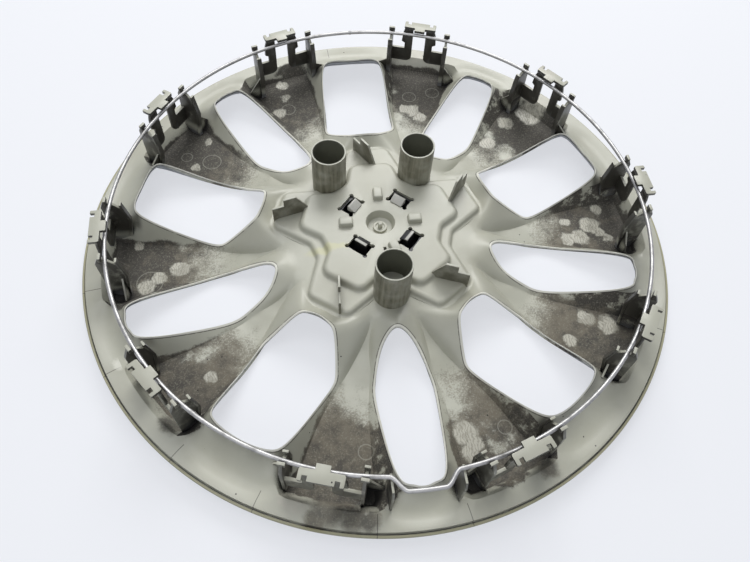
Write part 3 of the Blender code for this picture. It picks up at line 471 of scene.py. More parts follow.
# Marks in the dust, in millimetres on the cover: x, y and half width or radius. The cuts are in degrees.
RUBBED_MARKS = [
    (35.4, -157.8, 8.5), (41.0, -166.0, 6.0), (35.8, -171.4, 6.0), (-82.3, -189.0, 7.0),
    (-76.5, -194.3, 5.0), (-36.4, -197.8, 6.0), (-129.9, -99.0, 4.6), (-182.5, 16.9, 4.0),
    (-176.0, -20.5, 7.5), (-167.0, -14.0, 5.5), (-152.1, -8.4, 7.0), (-140.7, 91.5, 3.8),
    (-130.7, 118.7, 3.8), (-75.8, 192.9, 4.5), (-63.7, 182.7, 5.5), (-62.1, 166.9, 4.5),
    (-67.7, 148.5, 6.0), (62.6, 200.2, 8.0), (78.0, 193.6, 5.5), (50.1, 140.8, 7.0),
    (44.0, 143.5, 5.0), (55.8, 131.5, 5.5), (161.6, 129.0, 12.0), (130.6, 116.7, 7.5),
    (109.8, 94.5, 7.5), (182.0, 12.6, 5.0), (172.3, -1.7, 8.0), (160.2, -12.0, 8.0),
    (150.0, -13.6, 7.0), (142.0, -84.0, 6.5), (156.5, -91.5, 8.0), (178.2, -9.3, 4.5),
    (182.8, -15.8, 4.5), (152.8, 3.5, 5.0), (125.5, -100.2, 5.0), (154.5, 121.0, 9.5),
    (149.0, 127.5, 7.0),
]
RING_MARKS = [
    (62.7, -157.8, 4.8), (-31.5, -162.9, 5.0), (-127.5, 96.8, 7.5), (50.2, 157.5, 6.0),
    (72.2, 160.7, 6.0), (-148.0, 104.0, 4.5), (-173.7, -17.5, 9.5), (-60.0, 152.0, 6.0),
]
DUST_PATCHES = [
    (-58.0, -196.0, 15.0), (-44.0, -205.0, 11.0), (-68.0, -203.0, 9.0), (-36.0, -208.0, 8.0),
    (80.0, -190.5, 8.5), (-153.5, -130.5, 9.0), (173.0, -104.0, 6.0),
]
FLANGE_CUTS = [225.3, 241.4, 261.6, 277.0, 331.0, 359.0, 187.0, 95.0, 205.3]

SCUFF = (-188.5, -86.3)
HUB_SMEAR = (-40.0, -18.0)

polypropylene, tree = new_material("moulded_polypropylene")
place = node(tree, "ShaderNodeTexCoord")
mm = node(tree, "ShaderNodeVectorMath", {0: (place, "Object"), "Scale": 1000.0}, operation="SCALE")
spot = node(tree, "ShaderNodeSeparateXYZ", {0: mm})
flat = node(tree, "ShaderNodeCombineXYZ", {0: (spot, 0), 1: (spot, 1)})
radius = node(tree, "ShaderNodeVectorMath", {0: flat}, operation="LENGTH")
angle = node(tree, "ShaderNodeMath", {0: (spot, 1), 1: (spot, 0)}, operation="ARCTAN2")
surface = node(tree, "ShaderNodeNewGeometry")
facing = node(tree, "ShaderNodeSeparateXYZ", {0: (surface, "Normal")})

# Stains of 45 mm, smears of 9 mm, dust grit of 1.1 mm and mould grain of 0.4 mm.
cloud = node(tree, "ShaderNodeTexNoise", {"Vector": mm, "Scale": 1 / 45, "Detail": 4.0, "Roughness": 0.6})
smear = node(tree, "ShaderNodeTexNoise", {"Vector": mm, "Scale": 1 / 9, "Detail": 5.0, "Roughness": 0.65})
grit = node(tree, "ShaderNodeTexNoise", {"Vector": mm, "Scale": 1 / 1.1, "Detail": 3.0, "Roughness": 0.7})
grain = node(tree, "ShaderNodeTexNoise", {"Vector": mm, "Scale": 1 / 0.4, "Detail": 2.0})

# Dust lies on the spoke faces from mid spoke outward, and behind the clips.
wander = node(tree, "ShaderNodeMath", {0: cloud, 1: 60.0, 2: (radius, 1)}, operation="MULTIPLY_ADD")
outward = node(tree, "ShaderNodeMapRange", {"Value": wander, "From Min": 128.0, "From Max": 196.0})
climbing = node(tree, "ShaderNodeMath", {0: cloud, 1: -22.0, 2: (spot, 2)}, operation="MULTIPLY_ADD")
low = node(tree, "ShaderNodeMapRange", {"Value": climbing, "From Min": -2.0, "From Max": -8.0},
           interpolation_type="SMOOTHSTEP")
on_face = node(tree, "ShaderNodeMath", {0: outward, 1: low}, operation="MULTIPLY")
tenfold = node(tree, "ShaderNodeMath", {0: angle, 1: 10.0}, operation="MULTIPLY")
tenfold = node(tree, "ShaderNodeMath", {0: tenfold}, operation="COSINE")
at_clip = node(tree, "ShaderNodeMapRange", {"Value": tenfold, "From Min": 0.1, "From Max": 0.75},
               interpolation_type="SMOOTHSTEP")
from_ring = node(tree, "ShaderNodeMapRange", {"Value": (radius, 1), "From Min": 186.0, "From Max": 194.0},
                 interpolation_type="SMOOTHSTEP")
to_flange = node(tree, "ShaderNodeMapRange", {"Value": wander, "From Min": 236.0, "From Max": 226.0},
                 interpolation_type="SMOOTHSTEP")
behind = node(tree, "ShaderNodeMath", {0: at_clip, 1: from_ring}, operation="MULTIPLY")
behind = node(tree, "ShaderNodeMath", {0: behind, 1: to_flange}, operation="MULTIPLY")
near_face = node(tree, "ShaderNodeMath", {0: (spot, 2), 1: 17.0}, operation="LESS_THAN")
behind = node(tree, "ShaderNodeMath", {0: behind, 1: near_face}, operation="MULTIPLY")
sheltered = node(tree, "ShaderNodeMapRange",
                 {"Value": (spot, 0), "From Min": -110.0, "From Max": -20.0, "To Min": 0.5})
behind = node(tree, "ShaderNodeMath", {0: behind, 1: sheltered}, operation="MULTIPLY")
held = node(tree, "ShaderNodeMath", {0: on_face, 1: behind}, operation="MAXIMUM")
# Every slope that faces against the turn also takes dust and painted shade, mottled, from mid spoke out.
outward_way = node(tree, "ShaderNodeVectorMath", {0: flat}, operation="NORMALIZE")
turn = node(tree, "ShaderNodeVectorMath", {0: (0.0, 0.0, 1.0), 1: outward_way}, operation="CROSS_PRODUCT")
turn = node(tree, "ShaderNodeVectorMath", {0: turn, 1: (surface, "Normal")}, operation="DOT_PRODUCT")
against = node(tree, "ShaderNodeMapRange", {"Value": (turn, 1), "From Min": -0.16, "From Max": -0.42},
               interpolation_type="SMOOTHSTEP")
far_out = node(tree, "ShaderNodeMapRange", {"Value": wander, "From Min": 150.0, "From Max": 192.0})
lee_dust_and_shade = node(tree, "ShaderNodeMath", {0: against, 1: far_out}, operation="MULTIPLY")
lee_dust_and_shade = node(tree, "ShaderNodeMath", {0: lee_dust_and_shade, 1: near_face}, operation="MULTIPLY")
mottled = node(tree, "ShaderNodeMapRange",
               {"Value": smear, "From Min": 0.36, "From Max": 0.54, "To Min": 0.34})
lee_dust_and_shade = node(tree, "ShaderNodeMath", {0: lee_dust_and_shade, 1: mottled}, operation="MULTIPLY")
held = node(tree, "ShaderNodeMath", {0: held, 1: lee_dust_and_shade}, operation="MAXIMUM")
ragged = node(tree, "ShaderNodeMath", {0: grit, 1: 0.9, 2: held}, operation="MULTIPLY_ADD")
ragged = node(tree, "ShaderNodeMath", {0: smear, 1: 0.5, 2: ragged}, operation="MULTIPLY_ADD")
dust = node(tree, "ShaderNodeMapRange", {"Value": ragged, "From Min": 0.98, "From Max": 1.45},
            interpolation_type="SMOOTHSTEP")

# Patches of dust lie on the flange, rubbed marks show the clean plastic, and dried drops leave rings.
# The smears bend the outlines of patches and rubbed marks by a few millimetres.
bent = node(tree, "ShaderNodeVectorMath", {0: (smear, 1), 1: (0.5, 0.5, 0.5)}, operation="SUBTRACT")
bent = node(tree, "ShaderNodeVectorMath", {0: bent, 1: (11.0, 11.0, 0.0), 2: flat},
            operation="MULTIPLY_ADD")
for x, y, half in DUST_PATCHES:
    away = node(tree, "ShaderNodeVectorMath", {0: bent, 1: (x, y, 0.0)}, operation="DISTANCE")
    mark = node(tree, "ShaderNodeMapRange",
                {"Value": (away, 1), "From Min": half * 1.2, "From Max": half * 0.45, "To Max": 0.85},
                interpolation_type="SMOOTHSTEP")
    mark = node(tree, "ShaderNodeMath", {0: mark, 1: near_face}, operation="MULTIPLY")
    dust = node(tree, "ShaderNodeMath", {0: dust, 1: mark}, operation="MAXIMUM")
rubbed = 0.0
for x, y, half in RUBBED_MARKS:
    away = node(tree, "ShaderNodeVectorMath", {0: bent, 1: (x, y, 0.0)}, operation="DISTANCE")
    mark = node(tree, "ShaderNodeMapRange",
                {"Value": (away, 1), "From Min": half * 1.05, "From Max": half * 0.78})
    rubbed = node(tree, "ShaderNodeMath", {0: rubbed, 1: mark}, operation="MAXIMUM")
dried = 0.0
for x, y, ring_radius in RING_MARKS:
    away = node(tree, "ShaderNodeVectorMath", {0: flat, 1: (x, y, 0.0)}, operation="DISTANCE")
    mark = node(tree, "ShaderNodeMath", {0: (away, 1), 1: ring_radius, 2: 0.4}, operation="COMPARE")
    dried = node(tree, "ShaderNodeMath", {0: dried, 1: mark}, operation="MAXIMUM")
veins = node(tree, "ShaderNodeMapRange",
             {"Value": smear, "From Min": 0.42, "From Max": 0.50, "To Min": 0.62})
# Skin ridges and drying lines about 2 mm apart run through the marks.
ridges = node(tree, "ShaderNodeTexWave",
              {"Vector": mm, "Scale": 0.15, "Distortion": 14.0, "Detail": 3.0, "Detail Scale": 1.1})
ridges = node(tree, "ShaderNodeMapRange",
              {"Value": (ridges, 1), "From Min": 0.05, "From Max": 0.5, "To Min": 0.6})
rub = node(tree, "ShaderNodeMath", {0: rubbed, 1: veins}, operation="MULTIPLY")
rub = node(tree, "ShaderNodeMath", {0: rub, 1: ridges}, operation="MULTIPLY")
ring_rub = node(tree, "ShaderNodeMath", {0: dried, 1: 0.28}, operation="MULTIPLY")
kept = node(tree, "ShaderNodeMath", {0: rub, 1: ring_rub}, operation="MAXIMUM")
kept = node(tree, "ShaderNodeMath", {0: 1.0, 1: kept}, operation="SUBTRACT")
dust = node(tree, "ShaderNodeMath", {0: dust, 1: kept}, operation="MULTIPLY")

# Soot and painted shade darken the clips' upright faces; painted shade blackens the corners beside them.
level = node(tree, "ShaderNodeMath", {0: (facing, 2)}, operation="ABSOLUTE")
steep = node(tree, "ShaderNodeMapRange", {"Value": level, "From Min": 0.80, "From Max": 0.45},
             interpolation_type="SMOOTHSTEP")
near_clip = node(tree, "ShaderNodeMapRange", {"Value": (radius, 1), "From Min": 178.0, "From Max": 183.0},
                 interpolation_type="SMOOTHSTEP")
above = node(tree, "ShaderNodeMapRange", {"Value": (spot, 2), "From Min": 10.0, "From Max": 17.0},
             interpolation_type="SMOOTHSTEP")
free_rim = node(tree, "ShaderNodeMapRange", {"Value": (radius, 1), "From Min": 209.0, "From Max": 205.0},
                interpolation_type="SMOOTHSTEP")
smoke_and_shade = node(tree, "ShaderNodeMapRange",
              {"Value": smear, "From Min": 0.25, "From Max": 0.55, "To Min": 0.20, "To Max": 0.76},
              interpolation_type="SMOOTHSTEP")
# Painted shade in the corners, by how hemmed in each point is; black where it lies low down by the clips.
corner = node(tree, "ShaderNodeAmbientOcclusion", {"Distance": 0.011}, samples=6)
hollow = node(tree, "ShaderNodeMapRange",
              {"Value": (corner, "AO"), "From Min": 0.66, "From Max": 0.32, "To Max": 0.95},
              interpolation_type="SMOOTHSTEP")
# Upright faces turned toward the middle take more of it, as painted shade.
facing_in = node(tree, "ShaderNodeVectorMath", {0: outward_way, 1: (surface, "Normal")},
                 operation="DOT_PRODUCT")
facing_in = node(tree, "ShaderNodeMapRange",
                 {"Value": (facing_in, 1), "From Min": 0.40, "From Max": -0.30, "To Max": 0.5})
smoke_and_shade = node(tree, "ShaderNodeMath", {0: smoke_and_shade, 1: facing_in}, operation="ADD", use_clamp=True)
smoke_and_shade = node(tree, "ShaderNodeMath", {0: smoke_and_shade, 1: 0.93}, operation="MINIMUM")
soot_and_shade = node(tree, "ShaderNodeMath", {0: steep, 1: above}, operation="MULTIPLY")
soot_and_shade = node(tree, "ShaderNodeMath", {0: soot_and_shade, 1: smoke_and_shade}, operation="MULTIPLY")
at_foot = node(tree, "ShaderNodeMapRange", {"Value": (spot, 2), "From Min": 19.0, "From Max": 13.0})
hollow = node(tree, "ShaderNodeMath", {0: hollow, 1: at_foot}, operation="MULTIPLY")
soot_and_shade = node(tree, "ShaderNodeMath", {0: soot_and_shade, 1: hollow}, operation="MAXIMUM")
black_hollow_shade = node(tree, "ShaderNodeMath", {0: hollow, 1: near_clip}, operation="MULTIPLY")
black_hollow_shade = node(tree, "ShaderNodeMath", {0: black_hollow_shade, 1: free_rim}, operation="MULTIPLY")
soot_and_shade = node(tree, "ShaderNodeMath", {0: soot_and_shade, 1: near_clip}, operation="MULTIPLY")
soot_and_shade = node(tree, "ShaderNodeMath", {0: soot_and_shade, 1: free_rim}, operation="MULTIPLY")

# The colours, from the stained plastic up: rubbed marks, dust darker where thick, soot and painted shade.
stained = node(tree, "ShaderNodeMapRange",
               {"Value": cloud, "From Min": 0.35, "From Max": 0.75, "To Max": 0.6})
tone = node(tree, "ShaderNodeMix", {0: stained, 6: PLASTIC, 7: PLASTIC_STAIN}, data_type="RGBA")
tone = node(tree, "ShaderNodeMix", {0: rub, 6: tone, 7: RUBBED}, data_type="RGBA")
built_up = node(tree, "ShaderNodeMapRange",
                {"Value": (radius, 1), "From Min": 135.0, "From Max": 190.0, "To Max": 0.25})
thick = node(tree, "ShaderNodeMath", {0: smear, 1: built_up}, operation="ADD")
thick = node(tree, "ShaderNodeMath", {0: lee_dust_and_shade, 1: 0.14, 2: thick}, operation="MULTIPLY_ADD")
lopsided = node(tree, "ShaderNodeMapRange",
                {"Value": (spot, 1), "From Min": -150.0, "From Max": 90.0, "To Min": -0.14, "To Max": 0.14})
thick = node(tree, "ShaderNodeMath", {0: thick, 1: lopsided}, operation="ADD")
thick = node(tree, "ShaderNodeMapRange", {"Value": thick, "From Min": 0.42, "From Max": 0.74})
dirt = node(tree, "ShaderNodeMix", {0: thick, 6: DUST_BROWN, 7: DARK_DUST_AND_SHADE}, data_type="RGBA")
speck = node(tree, "ShaderNodeMapRange",
             {"Value": grit, "From Min": 0.52, "From Max": 0.68, "To Max": 0.38})
dirt = node(tree, "ShaderNodeMix", {0: speck, 6: dirt, 7: PLASTIC_STAIN}, data_type="RGBA")
cover_up = node(tree, "ShaderNodeMath", {0: dust, 1: 0.93}, operation="MULTIPLY")
tone = node(tree, "ShaderNodeMix", {0: cover_up, 6: tone, 7: dirt}, data_type="RGBA")
tone = node(tree, "ShaderNodeMix", {0: soot_and_shade, 6: tone, 7: SOOT_AND_SHADE}, data_type="RGBA")
tone = node(tree, "ShaderNodeMix", {0: black_hollow_shade, 6: tone, 7: SHADE_BLACK}, data_type="RGBA")

# The windows' edges carry a painted highlight on the bead and a painted shade hairline beside it.
edge_near = node(tree, "ShaderNodeAttribute", attribute_name="window_edge", attribute_type="GEOMETRY")
bead_highlight = node(tree, "ShaderNodeMapRange",
                 {"Value": (edge_near, "Fac"), "From Min": 0.70, "From Max": 0.76, "To Max": 0.9})
tone = node(tree, "ShaderNodeMix", {0: bead_highlight, 6: tone, 7: PALE_WEAR_AND_HIGHLIGHT}, data_type="RGBA")
shade_hairline = node(tree, "ShaderNodeMath", {0: (edge_near, "Fac"), 1: 0.65, 2: 0.05}, operation="COMPARE")
broken = node(tree, "ShaderNodeMapRange",
              {"Value": smear, "From Min": 0.38, "From Max": 0.50, "To Max": 0.8})
shade_hairline = node(tree, "ShaderNodeMath", {0: shade_hairline, 1: broken}, operation="MULTIPLY")
tone = node(tree, "ShaderNodeMix", {0: shade_hairline, 6: tone, 7: DARK_DUST_AND_SHADE}, data_type="RGBA")

# Black grains of about 0.8 mm lie 12 mm apart on the spokes.
grains = node(tree, "ShaderNodeTexVoronoi", {"Vector": mm, "Scale": 1 / 12})
grains = node(tree, "ShaderNodeMath", {0: (grains, "Distance"), 1: 0.045}, operation="LESS_THAN")
past_hub = node(tree, "ShaderNodeMath", {0: (radius, 1), 1: 105.0}, operation="GREATER_THAN")
grains = node(tree, "ShaderNodeMath", {0: grains, 1: past_hub}, operation="MULTIPLY")
tone = node(tree, "ShaderNodeMix", {0: grains, 6: tone, 7: SOOT_AND_SHADE}, data_type="RGBA")

# The lip has olive overspray on its edge, and painted shade darkens its groove.
lip = node(tree, "ShaderNodeMapRange",
           {"Value": (radius, 1), "From Min": 218.3, "From Max": 218.5, "To Max": 0.85})
tone = node(tree, "ShaderNodeMix", {0: lip, 6: tone, 7: EDGE_PAINT}, data_type="RGBA")
groove = node(tree, "ShaderNodeMath", {0: (radius, 1), 1: 217.9, 2: 0.34}, operation="COMPARE")
groove_shade = node(tree, "ShaderNodeMath", {0: broken, 1: 0.55, 2: 0.45}, operation="MULTIPLY_ADD")
groove_shade = node(tree, "ShaderNodeMath", {0: groove, 1: groove_shade}, operation="MULTIPLY")
tone = node(tree, "ShaderNodeMix", {0: groove_shade, 6: tone, 7: SOOT_AND_SHADE}, data_type="RGBA")

# Hairline cuts cross the flange, drawn 0.5 mm wide so that they show.
cuts = 0.0
for degrees in FLANGE_CUTS:
    at = math.radians(degrees if degrees <= 180 else degrees - 360)
    line = node(tree, "ShaderNodeMath", {0: angle, 1: at, 2: 0.0013}, operation="COMPARE")
    cuts = node(tree, "ShaderNodeMath", {0: cuts, 1: line}, operation="MAXIMUM")
on_flange = node(tree, "ShaderNodeMath", {0: (radius, 1), 1: 206.5}, operation="GREATER_THAN")
cuts = node(tree, "ShaderNodeMath", {0: cuts, 1: on_flange}, operation="MULTIPLY")
cuts = node(tree, "ShaderNodeMath", {0: cuts, 1: 0.7}, operation="MULTIPLY")
tone = node(tree, "ShaderNodeMix", {0: cuts, 6: tone, 7: DARK_DUST_AND_SHADE}, data_type="RGBA")

# A chalky scuff lies on the flange beside one cut.
scuff = node(tree, "ShaderNodeVectorMath", {0: bent, 1: (*SCUFF, 0.0)}, operation="DISTANCE")
scuff = node(tree, "ShaderNodeMapRange",
             {"Value": (scuff, 1), "From Min": 6.5, "From Max": 2.5, "To Max": 0.6},
             interpolation_type="SMOOTHSTEP")
scuff = node(tree, "ShaderNodeMath", {0: scuff, 1: on_flange}, operation="MULTIPLY")
tone = node(tree, "ShaderNodeMix", {0: scuff, 6: tone, 7: PALE_WEAR_AND_HIGHLIGHT}, data_type="RGBA")

# A faint yellow smear lies across the hub plate and its step.
along = node(tree, "ShaderNodeVectorMath", {0: bent, 1: (*HUB_SMEAR, 0.0)}, operation="SUBTRACT")
along = node(tree, "ShaderNodeVectorMath", {0: along, 1: (1.0, 4.5, 0.0)}, operation="MULTIPLY")
along = node(tree, "ShaderNodeVectorMath", {0: along}, operation="LENGTH")
smeared = node(tree, "ShaderNodeMapRange",
               {"Value": (along, 1), "From Min": 22.0, "From Max": 8.0, "To Max": 0.35},
               interpolation_type="SMOOTHSTEP")
tone = node(tree, "ShaderNodeMix", {0: smeared, 6: tone, 7: SMEAR_YELLOW}, data_type="RGBA")

# The far side is the road face, lacquered silver.
road_side = node(tree, "ShaderNodeMapRange", {"Value": (facing, 2), "From Min": -0.15, "From Max": -0.45})
tone = node(tree, "ShaderNodeMix", {0: road_side, 6: tone, 7: FACE_PAINT}, data_type="RGBA")
metal = node(tree, "ShaderNodeMath", {0: road_side, 1: 0.6}, operation="MULTIPLY")
rough = node(tree, "ShaderNodeMapRange", {"Value": dust, "To Min": 0.36, "To Max": 0.80})
bump = node(tree, "ShaderNodeBump", {"Strength": 0.14, "Distance": 0.0002, "Height": grain})
bump = node(tree, "ShaderNodeBump", {"Strength": 0.25, "Distance": 0.0004, "Height": dust, "Normal": bump})
bead_rise = node(tree, "ShaderNodeMapRange",
                 {"Value": (edge_near, "Fac"), "From Min": 0.62, "From Max": 0.76},
                 interpolation_type="SMOOTHSTEP")
bump = node(tree, "ShaderNodeBump",
            {"Strength": 0.3, "Distance": 0.0004, "Height": bead_rise, "Normal": bump})
shader = node(tree, "ShaderNodeBsdfPrincipled",
              {"Base Color": tone, "Roughness": rough, "Metallic": metal, "Normal": bump, "IOR": 1.49})
node(tree, "ShaderNodeOutputMaterial", {0: shader})
dish.data.materials.clear()
dish.data.materials.append(polypropylene)

# Stud tubes
# Three tubes moulded onto the hub stand over wheel studs. Each is closed part of the way up, and open
# below as the recess of a sham nut on the painted side.

TUBE_RADIUS = 0.0130
TUBE_WALL = 0.0014
TUBE_TOP = 0.0589
TUBE_FLOOR = 0.0310
TUBE_FOOT = 0.0188
TUBE_EDGE = 0.0003
RECESS_TOP = 0.0290
RECESS_WALL = 0.0026
TUBE_GREASE_AND_SHADE = linear("#8b8875")
TUBE_STREAK_AND_SHADE = linear("#5e5b49")
TUBE_INSIDE_SHADE = linear("#646558")
FIN_GREASE_AND_SHADE = linear("#5b5848")

# The tubes and the fins are the same plastic, under a film of old wheel grease that has run down them in
# streaks; their upright walls also carry painted shade. Inside, the tubes are painted darker as shade.
greasy_shaded, tree = new_material("greasy_shaded_polypropylene")
place = node(tree, "ShaderNodeTexCoord")
mm = node(tree, "ShaderNodeVectorMath", {0: (place, "Object"), "Scale": 1000.0}, operation="SCALE")
spot = node(tree, "ShaderNodeSeparateXYZ", {0: mm})
flat = node(tree, "ShaderNodeCombineXYZ", {0: (spot, 0), 1: (spot, 1)})
surface = node(tree, "ShaderNodeNewGeometry")
facing = node(tree, "ShaderNodeSeparateXYZ", {0: (surface, "Normal")})
to_tube = 100.0
for degrees in TUBE_ANGLES:
    x, y = polar(TUBE_CIRCLE * 1000.0, degrees)
    away = node(tree, "ShaderNodeVectorMath", {0: flat, 1: (x, y, 0.0)}, operation="DISTANCE")
    to_tube = node(tree, "ShaderNodeMath", {0: (away, 1), 1: to_tube}, operation="MINIMUM")
# Streaks 3 mm wide and 40 mm long, blotches of 10 mm, and mould grain of 0.4 mm.
drawn_out = node(tree, "ShaderNodeVectorMath", {0: mm, 1: (1.0, 1.0, 0.075)}, operation="MULTIPLY")
streaks = node(tree, "ShaderNodeTexNoise",
               {"Vector": drawn_out, "Scale": 1 / 3, "Detail": 4.0, "Roughness": 0.6})
blotch = node(tree, "ShaderNodeTexNoise", {"Vector": mm, "Scale": 1 / 10, "Detail": 4.0})
grain = node(tree, "ShaderNodeTexNoise", {"Vector": mm, "Scale": 1 / 0.4, "Detail": 2.0})
level = node(tree, "ShaderNodeMath", {0: (facing, 2)}, operation="ABSOLUTE")
steep = node(tree, "ShaderNodeMapRange", {"Value": level, "From Min": 0.75, "From Max": 0.35})
streaked = node(tree, "ShaderNodeMapRange", {"Value": streaks, "From Min": 0.35, "From Max": 0.65})
film = node(tree, "ShaderNodeMix", {0: streaked, 6: TUBE_GREASE_AND_SHADE, 7: TUBE_STREAK_AND_SHADE}, data_type="RGBA")
on_fin = node(tree, "ShaderNodeMath", {0: to_tube, 1: TUBE_RADIUS * 1000.0 + 0.6}, operation="GREATER_THAN")
film = node(tree, "ShaderNodeMix", {0: on_fin, 6: film, 7: FIN_GREASE_AND_SHADE}, data_type="RGBA")
wiped = node(tree, "ShaderNodeMapRange",
             {"Value": blotch, "From Min": 0.35, "From Max": 0.60, "To Min": 0.55, "To Max": 0.95})
# Only the upright walls take the film, as grease streaks with painted shade.
grease_and_shade_share = node(tree, "ShaderNodeMath", {0: steep, 1: wiped}, operation="MULTIPLY")
tone = node(tree, "ShaderNodeMix", {0: grease_and_shade_share, 6: PLASTIC, 7: film}, data_type="RGBA")
# Painted shade inside the tubes, above their floors.
bore = (TUBE_RADIUS - TUBE_WALL) * 1000.0
bored = node(tree, "ShaderNodeMath", {0: to_tube, 1: bore + 0.5}, operation="LESS_THAN")
over_floor = node(tree, "ShaderNodeMath", {0: (spot, 2), 1: TUBE_FLOOR * 1000.0 + 0.4},
                  operation="GREATER_THAN")
bored = node(tree, "ShaderNodeMath", {0: bored, 1: over_floor}, operation="MULTIPLY")
tone = node(tree, "ShaderNodeMix", {0: bored, 6: tone, 7: TUBE_INSIDE_SHADE}, data_type="RGBA")
rough = node(tree, "ShaderNodeMapRange",
             {"Value": streaks, "From Min": 0.3, "From Max": 0.7, "To Min": 0.30, "To Max": 0.52})
bump = node(tree, "ShaderNodeBump", {"Strength": 0.14, "Distance": 0.0002, "Height": grain})
shader = node(tree, "ShaderNodeBsdfPrincipled",
              {"Base Color": tone, "Roughness": rough, "Normal": bump, "IOR": 1.49})
node(tree, "ShaderNodeOutputMaterial", {0: shader})


def pick_faces(piece, wanted):
    """Enter edit mode with only the wanted faces selected."""
    bpy.ops.object.mode_set(mode="EDIT")
    bpy.ops.mesh.select_mode(type="FACE")
    bpy.ops.mesh.select_all(action="DESELECT")
    bpy.ops.object.mode_set(mode="OBJECT")
    for face in piece.data.polygons:
        face.select = wanted(face)
    bpy.ops.object.mode_set(mode="EDIT")


def round_edges(piece, width, segments):
    """Round the sharp edges of the active piece."""
    rounded = piece.modifiers.new("rounded", "BEVEL")
    rounded.width = width
    rounded.segments = segments
    rounded.limit_method = "ANGLE"
    bpy.ops.object.modifier_apply(modifier="rounded")


for number, degrees in enumerate(TUBE_ANGLES):
    bpy.ops.object.select_all(action="DESELECT")
    middle = (*polar(TUBE_CIRCLE, degrees), (TUBE_TOP + TUBE_FOOT) / 2)
    height = TUBE_TOP - TUBE_FOOT
    bpy.ops.mesh.primitive_cylinder_add(vertices=80, radius=TUBE_RADIUS, depth=height, location=middle)
    tube = bpy.context.object
    tube.name = "stud_tube_%d" % (number + 1)
    bpy.ops.object.transform_apply(location=True, rotation=True, scale=True)
    bores = ((1.0, TUBE_WALL, TUBE_TOP - TUBE_FLOOR), (-1.0, RECESS_WALL, RECESS_TOP - TUBE_FOOT))
    for way, wall, depth in bores:
        pick_faces(tube, lambda face: face.normal.z * way > 0.9 and len(face.vertices) > 8)
        bpy.ops.mesh.inset(thickness=wall)
        bpy.ops.mesh.extrude_region_move(TRANSFORM_OT_translate={"value": (0.0, 0.0, -way * depth)})
        bpy.ops.object.mode_set(mode="OBJECT")
    round_edges(tube, TUBE_EDGE, 3)
    bpy.ops.object.shade_smooth_by_angle(angle=math.radians(40.0))
    tube.data.materials.append(greasy_shaded)
    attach(tube, "root")
    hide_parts("cover")

# Fins and stops
# Five stepped fins on the lobes centre the cover in the wheel's middle bore. Four drafted stops on the
# plate and a boss with its gate pin are moulded on too.

FIN_TOP = [(0.0275, 0.0371), (0.0186, 0.0371), (0.0186, 0.0437), (0.0094, 0.0437), (0.0, 0.0285)]
FIN_FEET = (0.0, 0.0055, 0.0110, 0.0165, 0.0220, 0.0275)
FIN_FOOT_TOP = 0.0276
FIN_SUNK = 0.0010
FIN_WALL = 0.0016
FIN_START = Vector((0.0560, -0.0040, 0.0))
FIN_TURN = 31.8
STOP_ANGLES = [-1.0, 87.0, 177.0, -74.0]
STOP_CIRCLE = 0.0258
STOP_SIZE = (0.0112, 0.0078, 0.0052)
STOP_DRAFT = 0.86
STOP_EDGE = 0.0011
STOP_MIDDLE = PLATE_TOP + 0.0014
# The boss and the pin on the cup's floor: name, radius, height, radius of the hollow, edge.
CUP_PIECES = [("boss", 0.0052, 0.0016, 0.0034, 0.0003), ("gate_pin", 0.0017, 0.0054, 0.0, 0.0009)]
CUP_PIECE_SUNK = 0.0006
BOSS_HOLLOW = 0.0007


def plate(name, outline, wall, place):
    """Flat rib: its outline is thickened, and its edges are rounded."""
    mesh = bpy.data.meshes.new(name)
    mesh.from_pydata([(x, y, 0.0) for x, y in outline], [], [list(range(len(outline)))])
    rib = add_object(name, mesh)
    pick(rib)
    bpy.ops.object.mode_set(mode="EDIT")
    bpy.ops.mesh.select_all(action="SELECT")
    bpy.ops.mesh.extrude_region_move(TRANSFORM_OT_translate={"value": (0.0, 0.0, wall)})
    bpy.ops.mesh.select_all(action="SELECT")
    bpy.ops.mesh.normals_make_consistent(inside=False)
    bpy.ops.object.mode_set(mode="OBJECT")
    round_edges(rib, 0.0002, 2)
    mesh.transform(place)
    return rib


def upright(origin, degrees, wall):
    """Frame of a standing rib: X outward along the angle, Y up, Z across."""
    rise = Matrix.Rotation(math.radians(90.0), 4, "X") @ Matrix.Translation((0.0, 0.0, -wall / 2))
    return Matrix.Translation(origin) @ about_z(degrees) @ rise


def skin_under(x, y):
    """Height of the dish's upper skin under a point, or None in a window."""
    hit = dish_tree.ray_cast(Vector((x, y, 0.1)), Vector((0.0, 0.0, -1.0)))
    return hit[0].z if hit[0] else None


hub_pieces = []
for k in range(PAIRS):
    degrees = WIDE_AXIS + k * PITCH
    stand = upright(about_z(degrees) @ FIN_START, degrees + FIN_TURN, FIN_WALL)
    feet_line = []
    for along in FIN_FEET:
        foot = stand @ Vector((along, 0.0, FIN_WALL / 2))
        feet_line.append((along, min(skin_under(foot.x, foot.y) - FIN_SUNK, FIN_FOOT_TOP)))
    hub_pieces.append(plate("fin_%d" % (k + 1), feet_line + FIN_TOP, FIN_WALL, stand))
for k, degrees in enumerate(STOP_ANGLES):
    bpy.ops.object.select_all(action="DESELECT")
    bpy.ops.mesh.primitive_cube_add(size=1.0)
    stop = bpy.context.object
    stop.name = "stop_%d" % (k + 1)
    length, width, height = STOP_SIZE
    for v in stop.data.vertices:
        draft = STOP_DRAFT if v.co.z > 0 else 1.0
        v.co = (v.co.x * length * draft, v.co.y * width * draft, v.co.z * height)
    round_edges(stop, STOP_EDGE, 4)
    middle = Matrix.Translation((*polar(STOP_CIRCLE, degrees), STOP_MIDDLE))
    stop.data.transform(middle @ about_z(degrees))
    hub_pieces.append(stop)
cup_floor = PLATE_TOP - CUP_DEPTH
